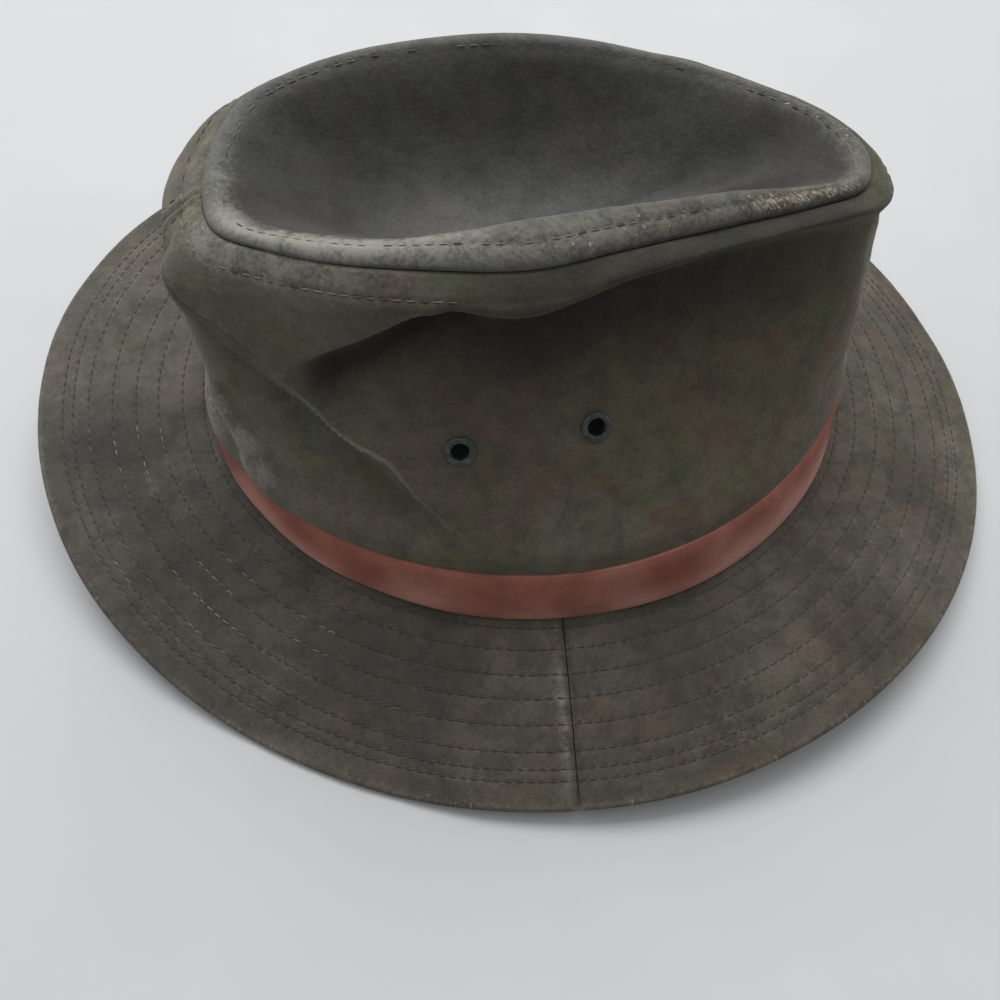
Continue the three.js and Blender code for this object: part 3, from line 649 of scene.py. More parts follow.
def napped_leather(name, own, clouded, rusty, mossy, shady, creased=False):
    """Napped leather of its own colour. Clouds of grey, rust, green and dark take their given shares, and
    the nap mottles it finely. The rub attribute brings out the worn crest, in places also a painted
    highlight; scuff the pale flesh; hollow paints shade in hollows and folds, on the brim mixed with soil;
    and ashen a painted grey cast of the light from the left. stitch_line and the UV give the needle holes,
    and crease and crease_worn draw the long crease, with a painted shadow along its lower side and a
    dark painted line in its groove where it is not worn."""
    material, nodes, inputs = new_material(name)
    place = place_of(nodes)
    run = nodes.node("ShaderNodeUVMap", {"uv_map": "run"})
    rub = mark_of(nodes, "rub")
    scuff = mark_of(nodes, "scuff")
    hollow = mark_of(nodes, "hollow")
    ashen = mark_of(nodes, "ashen")
    line = mark_of(nodes, "stitch_line")
    broad = place.noise(17, 2, 0.5, 0.4)
    patch = place.noise(48, 4, 0.6, 0.8)
    green = place.stretched((1, 1, 1), (0.4, 0.9, 0.2)).noise(40, 4, 0.62, 0.8)
    cloud = place.noise(130, 5, 0.7, 0.4)
    nap = place.noise(760, 3, 0.7)
    fibre = place.noise(2500, 2, 0.6)
    colour = (broad.ramp(0.36, 0.66) * clouded).blend(own, GREY)
    colour = (patch.ramp(0.47, 0.66) * rusty).blend(colour, RUST)
    colour = (green.ramp(0.48, 0.68) * mossy).blend(colour, MOSS)
    colour = (cloud.ramp(0.60, 0.30) * shady).blend(colour, DARK)
    colour = (broad.ramp(0.50, 0.28) * shady).blend(colour, DARK)
    # Painted light: a paler grey cast where the light from the left falls, broken into patches.
    ashen = ashen * patch.ramp(0.28, 0.62)
    colour = (ashen * 0.8).blend(colour, ASHEN)
    # Painted shade: darker where the hollow attribute is set, in hollows, under folds and lips, on the brim
    # mixed with soil.
    colour = (hollow * 0.85).blend(colour, PAINTED_SHADE_DARK)
    mottle = 0.80 + 0.20 * cloud.ramp(0.3, 0.7) + 0.26 * nap.ramp(0.30, 0.72) + 0.10 * fibre.ramp(0.3, 0.7)
    colour = nodes.node("ShaderNodeVectorMath", {"operation": "SCALE"}, {0: colour, "Scale": mottle})
    # Pale rubbed tone of worn crests, which in places also stands for a painted highlight.
    rubbed = (rub * (0.42 + 0.52 * nap.ramp(0.34, 0.66) + 0.55 * cloud.ramp(0.38, 0.62))).ramp(0.08, 1.25)
    colour = rubbed.blend(colour, ashen.blend(RUBBED, RUBBED_ASHEN))
    hatch = run.stretched((1.25, 0.24, 1), (0, 0, 0.35)).noise(1.0, 3, 0.7, 0.4)
    torn = (hatch + scuff * 0.5 + (nap - 0.5) * 0.45).ramp(0.90, 1.06) * scuff.ramp(0.02, 0.2)
    nicks = run.stretched((0.9, 0.45, 1), (0, 0, 0.5)).noise(1.0, 2, 0.6).ramp(0.63, 0.69)
    torn = torn.sum_of("MAXIMUM", torn, nicks * scuff.ramp(0.12, 0.45) * 0.8)
    colour = torn.blend(colour, nap.ramp(0.3, 0.7).blend(tuple(0.62 * c for c in FLESH), FLESH))
    height = nap * 0.6 + fibre * 0.25 + cloud * 0.6 - torn * 0.4
    run_x = nodes.node("ShaderNodeSeparateXYZ", None, {0: run})
    step = run_x.sum_of("FRACT", run_x / STITCH_PITCH)
    off = (step - 0.5) * STITCH_PITCH
    hole = run_x.sum_of("SQRT", off * off + line * line)
    colour = ((1 - hole.ramp(0.1, 0.32)) * 0.22).blend(colour, tuple(0.4 * c for c in DARK))
    height = height - (1 - hole.ramp(0.2, 1.0)) * 0.45
    if creased:
        from_crease = mark_of(nodes, "crease") - CREASE_SHIFT
        worn = mark_of(nodes, "crease_worn")
        # Painted shadow: darker along the crease's lower side, where its ridge shades the leather.
        shade = 1 - from_crease.sum_of("ABSOLUTE", from_crease + 2.4).ramp(0.6, 2.6)
        colour = (shade * 0.3).blend(colour, DARK)
        # A thin line along the crease: pale where it is worn, and where it is not, a dark painted shadow in
        # its groove.
        edge = from_crease.sum_of("ABSOLUTE", from_crease + (cloud - 0.5) * 1.6)
        edge = (1 - edge.ramp(0.1, 0.25 + 0.85 * cloud)) * worn.ramp(0.0, 0.1) * (0.5 + 0.8 * nap)
        colour = (edge * worn * 0.75).blend(colour, RUBBED_ASHEN)
        colour = (edge * (1 - worn) * 0.6).blend(colour, PAINTED_SHADE_DARK)
    feed(nodes, inputs, "Base Color", colour)
    feed(nodes, inputs, "Roughness", 0.84 + 0.1 * nap)
    inputs["Specular IOR Level"].default_value = 0.2
    inputs["Sheen Weight"].default_value = 0.16
    inputs["Sheen Roughness"].default_value = 0.45
    inputs["Sheen Tint"].default_value = (0.95, 0.88, 0.74, 1)
    bumped(nodes, inputs, height, 0.34 * MM, 0.9)
    return material


wall_leather = napped_leather("napped_leather_wall", OLIVE, 0.4, 0.85, 0.8, 0.32, creased=True)

# Columns lie closer on the side that is folded, and rows closer near the seam
WALL_COLUMNS = 640
WALL_ROWS = 108
WALL_TOP_ROWS = 32
WALL_TOP_FROM = 0.86
WALL_INNER_STEP = 5
FOLDED_FROM = 192
FOLDED_TO = 345
FOLDED_EXTRA = 1.2
fine = np.linspace(0, 360, 3601)
density = 1 + FOLDED_EXTRA / (1 + np.exp(-(fine - FOLDED_FROM) / 4)) / (1 + np.exp((fine - FOLDED_TO) / 4))
crowded = np.concatenate([[0], np.cumsum((density[1:] + density[:-1]) / 2)])
wall_turns = np.interp(np.linspace(0, crowded[-1], WALL_COLUMNS + 1), crowded, fine)[:-1]
wall_ups = np.concatenate([np.linspace(0, WALL_TOP_FROM, WALL_ROWS - WALL_TOP_ROWS, endpoint=False),
                           WALL_TOP_FROM + (1 - WALL_TOP_FROM) * np.linspace(0, 1, WALL_TOP_ROWS) ** 0.8])
turn_grid = wall_turns[None, :]
wall_outer, wall_normals = dressed(wall_point, wall_relief, 1, turn_grid, wall_ups[:, None])
wall_outer[-1] += unit(wall_outer[-2] - wall_outer[-1]) * SEWN / 2

EYELET_RISE = 50.5 * MM
EYELET_PITCH = 37 * MM
EYELET_MIDDLE = -1.9 * MM
EYELET_FLANGE = 8.6 * MM
EYELET_HOLE = 5 * MM
EYELET_BARREL = 6 * MM
HOLE_RADIUS = EYELET_BARREL / 2 + SEWN


HALVINGS = 24
NUDGES = 40


def up_at_rise(turn, rise):
    """The height share at which the wall has climbed so far above the brim, by halving."""
    low = np.zeros_like(turn)
    high = np.ones_like(turn)
    for _ in range(HALVINGS):
        middle = (low + high) / 2
        point = wall_point(turn, middle)
        below = point[..., 2] - seat_at(point[..., 0]) < rise
        low = np.where(below, middle, low)
        high = np.where(below, high, middle)
    return (low + high) / 2


def eyelet_place(side, along):
    """Centre and normal of an eyelet: turned round the wall until it stands at its place along the hat."""
    turn = np.array(side * 90.0)
    for _ in range(NUDGES):
        up = up_at_rise(turn, EYELET_RISE)
        off = wall_point(turn, up)[0] - (CROWN_FORWARD + EYELET_MIDDLE + along)
        turn = turn + side * math.degrees(off / CROWN_LENGTH)
    return wall_point(turn, up), normal_of(wall_point, turn, up)


eyelets = {f"{side_name}_{end_name}": eyelet_place(side, end * EYELET_PITCH / 2)
           for side_name, side in (("right", -1), ("left", 1))
           for end_name, end in (("front", 1), ("rear", -1))}


def from_eyelet(points, centre, normal):
    """Height above the eyelet's own plane, the part beside its axis, and how long that part is."""
    away = points - centre
    height = away @ normal
    beside = away - height[..., None] * normal
    return height, beside, np.linalg.norm(beside, axis=-1)


# The leather lies flat under each flange, to this far from its middle and fading further out
FLAT_TO = 4.9 * MM
FLAT_FADE = 3.5 * MM
FLAT_DEEP = 8 * MM
HOLE_DEEP = 6 * MM
for centre, normal in eyelets.values():
    height, beside, distance = from_eyelet(wall_outer, centre, normal)
    near = (1 - np.clip((distance - FLAT_TO) / FLAT_FADE, 0, 1)) * (np.abs(height) < FLAT_DEEP)
    near = near ** 2 * (3 - 2 * near)
    wall_outer -= (height * near)[..., None] * normal

EYELET_UPS = (0.34, 0.58)
by_eyelets = np.flatnonzero((wall_ups > EYELET_UPS[0]) & (wall_ups < EYELET_UPS[1]))
inner_rows = np.unique(np.concatenate([np.arange(0, WALL_ROWS, WALL_INNER_STEP), [WALL_ROWS - 1],
                                       by_eyelets]))
wall_inner = wall_outer - wall_normals * WALL_THICK
wall_inner[0] = wall_outer[0] - outward(wall_turns) * WALL_THICK
wall_grid = np.concatenate([wall_outer, wall_inner[inner_rows[::-1]]])

# The holes behind the eyelets: quads inside the circle go, and what borders them is drawn onto it
row_of = np.concatenate([np.arange(WALL_ROWS), inner_rows[::-1]])
wall_drop = np.zeros(wall_grid.shape[:2], bool)
rim_faces = []
total_rows = len(wall_grid)
for centre, normal in eyelets.values():
    height, beside, distance = from_eyelet(wall_grid, centre, normal)
    close = np.abs(height) < HOLE_DEEP
    quad_centre = (wall_grid + np.roll(wall_grid, -1, 1) + np.roll(wall_grid, -1, 0)
                   + np.roll(np.roll(wall_grid, -1, 0), -1, 1)) / 4
    outer_quads = np.arange(total_rows) < WALL_ROWS - 1
    _, _, reach = from_eyelet(quad_centre, centre, normal)
    cut = (reach < HOLE_RADIUS) & close & outer_quads[:, None]
    twin = {row: k for k, row in enumerate(inner_rows[::-1].tolist())}
    cut_rows, cut_columns = np.nonzero(cut)
    inner_cut_rows = np.array([WALL_ROWS + twin[row + 1] for row in cut_rows.tolist()], int)
    wall_drop[cut_rows, cut_columns] = True
    wall_drop[inner_cut_rows, cut_columns] = True
    cells = set(zip(cut_rows.tolist(), cut_columns.tolist()))
    border = set()
    for j, i in cells:
        for a, b, beyond in (((j, i), (j, i + 1), (j - 1, i)), ((j, i + 1), (j + 1, i + 1), (j, i + 1)),
                             ((j + 1, i + 1), (j + 1, i), (j + 1, i)), ((j + 1, i), (j, i), (j, i - 1))):
            if beyond not in cells:
                border.add((a, b))
    for a, b in border:
        ia, ib = ((WALL_ROWS + twin[p[0]]) * WALL_COLUMNS + p[1] for p in (a, b))
        oa, ob = (p[0] * WALL_COLUMNS + p[1] for p in (a, b))
        rim_faces.append((oa, ob, ib, ia))
    corners = np.array(sorted({p for edge in border for p in edge}))
    for layer_rows in (corners[:, 0], np.array([WALL_ROWS + twin[row] for row in corners[:, 0].tolist()])):
        spot = wall_grid[layer_rows, corners[:, 1]]
        _, beside, distance = from_eyelet(spot, centre, normal)
        wall_grid[layer_rows, corners[:, 1]] = spot + beside * (HOLE_RADIUS / distance - 1)[:, None]

from_seam = np.linalg.norm(wall_grid - seam_point(wall_turns)[None], axis=-1) / MM
full_turns = np.append(wall_turns, 360)
stitch_up = along_at(wall_point, full_turns, 1.0, 0.7, WALL_STITCH_IN * MM)
stitch_path = wall_point(full_turns, stitch_up)
stitch_run = run_along(stitch_path)
wall_uv = np.zeros((total_rows, WALL_COLUMNS + 1, 2))
wall_uv[..., 0] = stitch_run
wall_uv[..., 1] = np.concatenate([from_seam, from_seam[:, :1]], 1)
outside = (np.arange(total_rows) < WALL_ROWS)[:, None]
wall_line = np.where(outside, np.abs(from_seam - WALL_STITCH_IN), NO_STITCHES)
wall_line = wall_line + table_at(turn_grid, [(0, 0), (254, 0), (262, 2), (340, 2), (350, 0)])
ups = wall_ups[row_of][:, None]
crest = line_relief(turn_grid, ups, [row for row in CREASES if row[4] > 0.2])
wall_rub_and_highlight = np.clip(crest, 0, 1) * 0.8
wall_rub_and_highlight = wall_rub_and_highlight + 0.45 * hump(from_seam - 3.5, 4.5) * table_at(
    turn_grid, [(0, .3), (40, .3), (120, .3), (165, .7), (185, 1.3), (205, 2.3), (225, 2.2), (240, 1.2),
                (254, .3), (262, 0), (330, 0), (345, .3)])
wall_rub_and_highlight = wall_rub_and_highlight + 0.7 * hump(np.maximum(0, np.abs(turn_grid - 198) - 6), 5) * hump(ups - 0.27, 0.13)
# Painted light: a paler grey cast on the wall's left and back, where the light from the left falls.
wall_painted_grey_light = np.broadcast_to(table_at(
    turn_grid, [(0, .1), (60, 0), (150, .4), (190, .5), (236, .45), (262, .25), (285, .05)]), wall_rub_and_highlight.shape)
# Painted highlight: a pale strip down the wall's right edge, where the light catches it.
wall_rub_and_highlight = wall_rub_and_highlight + 0.8 * hump(turn_grid - 352, 5) * hump(np.maximum(0, np.abs(ups - 0.5) - 0.2), 0.1)
wall_rub_and_highlight = np.where(outside, wall_rub_and_highlight, 0.25)
# Painted shade: darker in the pocket under the lip, under the shaded folds, and beside the seam on the near
# and front sides.
depth = np.clip(around(SECTIONS, "under_in", turn_grid), 0, 1)
wall_painted_shade = depth * hump(np.maximum(0, np.abs(ups - 0.75) - 0.08), 0.12)
wall_painted_shade = np.maximum(wall_painted_shade, np.clip(-fold_at(turn_grid, ups, SHADED_FOLDS) / DENT_DEPTH, 0, 1))
wall_painted_shade = np.maximum(wall_painted_shade, np.exp(-(from_seam / 12) ** 4) * table_at(
    turn_grid, [(0, .2), (20, .4), (60, .2), (90, 0), (240, 0), (258, .5), (280, .85), (300, 1), (330, 1),
                (348, .5)]))
wall_painted_shade = np.where(outside, wall_painted_shade, 0)
wall_scuff = np.where(outside, 0.35 * hump(from_seam - 1.5, 1.2) * table_at(
    turn_grid, [(0, .4), (18, 1.4), (45, 1.5), (60, .4), (180, .5), (195, 1.0), (230, .8), (260, .3),
                (320, .3)]), 0)
from_crease, along = crease_at(turn_grid, ups)
wall_crease = np.where(outside, np.clip(CREASE_SHIFT + from_crease, 0, 2 * CREASE_SHIFT), 0)
crease_worn = np.interp(along, (0, .02, .3, .42, .55, .75, .8, .98, 1),
                        (0, .1, .2, .55, .8, 1, .75, .5, 0))
crown_wall = grid_object("crown_wall", wall_grid, True, wall_leather, wall_uv,
                         {"stitch_line": wall_line, "rub": wall_rub_and_highlight, "scuff": wall_scuff,
                          "hollow": wall_painted_shade, "ashen": wall_painted_grey_light, "crease": wall_crease,
                          "crease_worn": crease_worn},
                         drop=wall_drop, rim=rim_faces)
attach(crown_wall, "root")
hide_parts("crown_side")


# The crown's tip. A teardrop of the same leather sewn to the wall, whose middle has sunk into a dish, so
# that its border stands up as a fat roll along the near side. The roll is rubbed pale and torn in places,
# its crest also painted pale as a highlight, and the dish is painted darker as shade.
TIP_OLIVE = (0.106, 0.104, 0.097)
tip_leather = napped_leather("napped_leather_tip", TIP_OLIVE, 0.3, 0.2, 0.08, 0.28)
TIP_ROWS = 84
TIP_ROLL_ROWS = 26
TIP_INNER_STEP = 6
DISH_END = 0.975
tip_shares = np.concatenate([
    CREST_AT * np.linspace(0, 1, TIP_ROLL_ROWS, endpoint=False) ** 1.2,
    CREST_AT + (DISH_END - CREST_AT) * np.linspace(0, 1, TIP_ROWS - TIP_ROLL_ROWS) ** 1.15])


def tip_relief(turn, inwards, points):
    """Fine relief of the tip in mm, along its normal."""
    from_seam = np.linalg.norm(points - seam_point(turn), axis=-1) / MM
    uneven = 0.5 * ripples(points, 42 * MM, 21) + 0.14 * ripples(points, 13 * MM, 22)
    uneven += 0.05 * ripples(points, 5 * MM, 23)
    return seam_relief(from_seam, TIP_STITCH_IN) + uneven * np.clip(from_seam / 12, 0, 1)


tip_outer, tip_normals = dressed(tip_point, tip_relief, 0, turn_grid, tip_shares[:, None])
tip_outer[0] += unit(tip_outer[1] - tip_outer[0]) * SEWN / 2
tip_inner_rows = np.unique(np.append(np.arange(0, TIP_ROWS, TIP_INNER_STEP), TIP_ROWS - 1))
tip_inner = (tip_outer - tip_normals * TIP_THICK)[tip_inner_rows[::-1]]
tip_grid = np.concatenate([tip_outer, tip_inner])
tip_stitch_in = along_at(tip_point, full_turns, 0.0, 0.5, TIP_STITCH_IN * MM)
tip_path = tip_point(full_turns, tip_stitch_in)
tip_run = run_along(tip_path)
steps_in = np.linalg.norm(np.diff(tip_outer, axis=0), axis=-1)
tip_from_seam = np.concatenate([np.zeros((1, WALL_COLUMNS)), np.cumsum(steps_in, 0)]) / MM
tip_from_seam = np.concatenate([tip_from_seam, tip_from_seam[tip_inner_rows[::-1]]])
tip_uv = np.zeros((len(tip_grid), WALL_COLUMNS + 1, 2))
tip_uv[..., 0] = tip_run
tip_uv[..., 1] = np.concatenate([tip_from_seam, tip_from_seam[:, :1]], 1)
outside = (np.arange(len(tip_grid)) < TIP_ROWS)[:, None]
tip_line = np.where(outside, np.abs(tip_from_seam - TIP_STITCH_IN), NO_STITCHES)
tip_line = tip_line + table_at(
    turn_grid, [(0, 0), (40, .1), (60, .4), (110, .4), (140, 0), (306, 0), (314, 2), (348, 2)])
# Pale rubbed crest of the roll; on the near side it also stands for the crest's painted highlight.
tip_rub_and_highlight = 0.8 * hump(tip_from_seam - 6, 5) * table_at(
    turn_grid, [(0, .5), (20, .6), (60, .25), (120, .2), (170, .3), (200, 1.0), (215, 1.6), (240, 1.7),
                (262, 1.3), (300, 1.0), (330, 0.9), (350, .5)])
scuff_middle = table_at(turn_grid, [(0, 4.5), (270, 6), (315, 6.3), (330, 5.4), (346, 3.4)])
scuff_reach = table_at(turn_grid, [(0, 3), (270, 4.5), (316, 4.4), (346, 2.6)])
tip_scuff = np.exp(-((tip_from_seam - scuff_middle) / scuff_reach) ** 4) * table_at(
    turn_grid, [(0, .25), (14, .3), (20, .5), (40, .5), (52, .15), (120, .1), (190, .25), (215, .2),
                (240, .15), (270, .3), (290, .45), (310, .5), (314, .75), (317, 1.0), (334, .95), (344, .75),
                (352, .3)])
# Painted shade: the dish is darker behind the roll, most on the near left and at the front.
dish_edge = table_at(turn_grid, [(0, 5), (30, 5), (60, 8), (150, 7), (170, 5), (215, 6), (235, 7), (250, 9),
                                 (265, 12), (300, 12), (330, 8)])
in_dish = np.clip((tip_from_seam - dish_edge) / 3.5, 0, 1) * np.clip((75 - tip_from_seam) / 35, 0, 1)
tip_painted_shade = in_dish * table_at(
    turn_grid, [(0, .9), (20, .7), (50, .1), (120, 0), (140, .3), (165, .75), (195, 1), (235, 1), (250, .8),
                (268, .4), (300, .4), (335, .8)])
# Painted light: a paler grey cast on the tip's left, where the light from the left falls.
tip_painted_grey_light = np.broadcast_to(table_at(
    turn_grid, [(0, .1), (150, .4), (200, .6), (240, .5), (270, .3), (300, 0)]), tip_rub_and_highlight.shape)
crown_top = grid_object("crown_top", tip_grid, True, tip_leather, tip_uv,
                        {"stitch_line": tip_line, "rub": np.where(outside, tip_rub_and_highlight, .25),
                         "ashen": tip_painted_grey_light, "scuff": np.where(outside, tip_scuff, 0),
                         "hollow": np.where(outside, tip_painted_shade, 0)}, gap=TIP_ROWS - 1)
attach(crown_top, "root")
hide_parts("crown_tip")


# The brim. Two halves of two leather layers each, seamed at the wearer's sides, turned at the edge and
# quilted by eight rows of stitching, the outer two close together. The edge rests on the floor in places.
BRIM_LENGTH = 319.6 * MM
BRIM_WIDTH = 281.6 * MM
BRIM_THICK = 3 * MM
BRIM_FLIP = 20.5 * MM
BRIM_BOW = 1.5 * MM
SIDE_SEAM_TURN = 275.6
BRIM_EDGE = dict(zip(("turn", "lift", "reach"), np.array([
    (0, .07, 1), (30, -.1, 1), (60, .06, 1), (95, -.1, 1), (120, .18, 1), (150, .78, 1), (165, .96, 1),
    (180, 1, 1), (195, .83, 1), (210, .53, .998), (225, .22, .99), (245, -.1, .985), (270, .12, .998),
    (285, .33, 1.01), (300, .49, 1.015), (315, .53, 1.015), (330, .42, 1.012), (345, .24, 1.005),
]).T))
STITCH_ROWS = np.array((8.2, 11.5, 16.5, 24, 31.5, 38.5, 46, 52.5))
BRIM_REACH = 56.5
SEAM_RADIUS = 100
SEAM_RUB_RADIUS = 110


def brim_point(turn, out):
    """Straight from the crown's foot to the edge's oval, with a slight arch, and bent flat where the
    edge rests."""
    turn, out = np.broadcast_arrays(np.asarray(turn, float), np.asarray(out, float))
    foot = foot_point(turn)
    foot[..., 2] -= SEWN
    reach = around(BRIM_EDGE, "reach", turn)
    edge = np.stack([BRIM_LENGTH / 2 * reach * np.cos(np.radians(turn)),
                     BRIM_WIDTH / 2 * reach * np.sin(np.radians(turn)),
                     BRIM_THICK + BRIM_FLIP * around(BRIM_EDGE, "lift", turn)], -1)
    point = foot + (edge - foot) * out[..., None]
    point[..., 2] = np.maximum(BRIM_THICK, point[..., 2] + 4 * BRIM_BOW * out * (1 - out))
    return point


def brim_inward(turn, share):
    """The brim's top by its share of the way in from the edge."""
    return brim_point(turn, 1 - share)


def to_side_seam(turn):
    """Distance to the nearer side seam, in degrees with its sign."""
    return np.mod(turn - SIDE_SEAM_TURN + 90, 180) - 90


def stitch_distance(share):
    """Distance in mm to the nearest row of stitching, for a share of the way in from the edge."""
    return np.abs(share[..., None] * BRIM_REACH - STITCH_ROWS).min(-1)


def brim_relief(turn, share, run, points):
    """Fine relief of the brim in mm: a valley at each row, drawn in further at each needle hole, the
    side seams' grooves, and a soft unevenness."""
    line = stitch_distance(share)
    valley = -0.18 * hump(line, 1.1)
    pull = -0.07 * hump(line, 0.9) * np.cos(2 * math.pi * (run / STITCH_PITCH - 0.5))
    seam = np.abs(to_side_seam(turn)) * math.radians(1) * SEAM_RADIUS
    groove = -1.3 * hump(seam, 0.9) + 0.35 * hump(seam - 2.6, 1.4)
    uneven = 0.35 * ripples(points, 46 * MM, 31) + 0.12 * ripples(points, 14 * MM, 32)
    uneven += 0.06 * ripples(points, 6 * MM, 33)
    return valley + pull + groove + uneven


BRIM_OLIVE = (0.084, 0.072, 0.053)
brim_leather = napped_leather("napped_leather_brim", BRIM_OLIVE, 0.3, 0.5, 0.25, 0.5)
pairs = np.concatenate([STITCH_ROWS + step for step in (-1.5, -0.7, 0, 0.7, 1.5)])
filling = np.arange(2.0, 56, 1.5)
filling = filling[np.abs(filling[:, None] - STITCH_ROWS[None]).min(1) > 2.1]
top_shares = np.sort(np.concatenate([pairs, filling, [54.9, 56.5]])) / BRIM_REACH
top_shares = top_shares[np.append(True, np.diff(top_shares) > 0.004)]
top_shares[-1] = 1.0
under_shares = top_shares[::2]
BRIM_COLUMNS = 640
ROUND_STEPS = 7


def brim_half(name, start):
    """A half of the brim: its profile runs in over the top, down inside the crown, back out underneath
    and round the edge."""
    turns = np.linspace(start, start + 180, BRIM_COLUMNS)
    gap = math.degrees(SEWN / 2 / (0.5 * (CROWN_WIDTH + BRIM_WIDTH) / 2))
    turns = np.clip(turns, start + gap, start + 180 - gap)
    shares = np.broadcast_to(top_shares[:, None], (len(top_shares), BRIM_COLUMNS))
    top = brim_inward(turns[None], shares)
    steps = np.linalg.norm(np.diff(top, axis=1), axis=-1)
    run = np.concatenate([np.zeros((len(shares), 1)), np.cumsum(steps, 1)], 1) / MM
    relief = brim_relief(turns[None], shares, run, top) * MM
    relief -= relief[-1:] * np.clip((shares - 0.95) / 0.05, 0, 1)
    top = top.copy()
    top[..., 2] += relief
    mirrored = brim_relief(turns[None], shares, run, top + (0, 0, 0.2)) * MM
    under = brim_inward(turns[None], shares).copy()
    under[..., 2] -= BRIM_THICK + mirrored
    under[..., 2] = np.maximum(under[..., 2], 0.0)
    under = under[::2]
    margin = top[-1] - outward(turns) * (WALL_THICK + 1.2 * MM)
    margin_low = margin - (0, 0, BRIM_THICK)
    edge = brim_point(turns, np.ones_like(turns))
    middle_z = (top[0, :, 2] + under[0, :, 2]) / 2
    half = (top[0, :, 2] - under[0, :, 2]) / 2
    inset = top[0] - edge
    angles = np.linspace(-90, 90, ROUND_STEPS + 2)[1:-1]
    rounded = []
    for angle in np.radians(angles):
        ring = edge + inset * (1 - math.cos(angle))
        ring[..., 2] = middle_z + half * math.sin(angle)
        rounded.append(ring)
    grid = np.concatenate([top, margin[None], margin_low[None], under[::-1], np.stack(rounded)])
    row_shares = np.concatenate([top_shares, [1.03, 1.03], under_shares[::-1], np.zeros(len(angles))])
    run_all = np.concatenate([run, run[-1:], run[-1:], run[::2][::-1], np.repeat(run[:1], len(angles), 0)])
    uv = np.stack([run_all, np.broadcast_to(row_shares[:, None] * BRIM_REACH, run_all.shape)], -1)
    line = np.broadcast_to(stitch_distance(row_shares)[:, None], run_all.shape)
    share_grid = row_shares[:, None]
    is_top = (np.arange(len(grid)) < len(top_shares))[:, None]
    seam = to_side_seam(turns[None]) * math.radians(1) * SEAM_RUB_RADIUS
    rub = 0.22 * hump(share_grid * BRIM_REACH, 3) + 0.5 * hump(seam + 2.2, 1.6) * (
        0.3 + 0.7 * hump(share_grid - 0.35, 0.35)) * is_top
    rub = rub + 0.16 * (1 + ripples(grid, 38 * MM, 35)) * hump(line, 2.0)
    scuff = 0.18 * hump(share_grid * BRIM_REACH - 1, 2) + 0.1
    # Darker patches on the brim's top: partly mottled soil, partly painted shade on the near left by the
    # crown.
    soil_and_painted_shade = table_at(turns[None], [(0, 0), (150, .1), (190, .32), (235, .3), (262, .1), (290, .22),
                                    (315, .2), (335, 0)])
    soil_and_painted_shade = np.clip(soil_and_painted_shade + 0.3 * ripples(grid, 44 * MM, 36), 0, 0.85) * is_top
    # Painted light: a paler grey cast on the brim's left, where the light from the left falls.
    ashen = table_at(turns[None], [(0, 0), (150, .3), (185, .5), (230, .3), (265, .1)])
    marks = {"stitch_line": line, "rub": np.broadcast_to(rub, line.shape),
             "scuff": np.broadcast_to(scuff, line.shape), "hollow": soil_and_painted_shade,
             "ashen": np.broadcast_to(ashen, line.shape)}
    return grid_object(name, grid, False, brim_leather, uv, marks)


for name, node, start in (("brim_front_half", "brim_front", SIDE_SEAM_TURN - 360),
                          ("brim_back_half", "brim_back", SIDE_SEAM_TURN - 180)):
    half_brim = brim_half(name, start)
    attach(half_brim, "root")
    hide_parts(node)


# The stitching. Dark waxed thread in a lockstitch: each stitch comes up through one needle hole, lies in
# the valley that it has pulled, and goes down through the next.
THREAD = (0.062, 0.056, 0.043)
THREAD_WORN = (0.24, 0.235, 0.215)
STITCH_LENGTH = 2.75
STITCH_RADIUS = 0.21
STITCH_POINTS = 20


def thread_material(name, fresh, worn):
    """Twisted thread, dark where it is fresh and pale where it has been rubbed."""
    material, nodes, inputs = new_material(name)
    place = place_of(nodes)
    rub = mark_of(nodes, "rub")
    twist = place.noise(2600, 2, 0.6)
    colour = (rub * (0.5 + twist)).ramp(0.1, 0.95).blend(fresh, worn)
    feed(nodes, inputs, "Base Color", colour)
    inputs["Roughness"].default_value = 0.75
    inputs["Specular IOR Level"].default_value = 0.3
    bumped(nodes, inputs, twist, 0.08 * MM, 0.7)
    return material


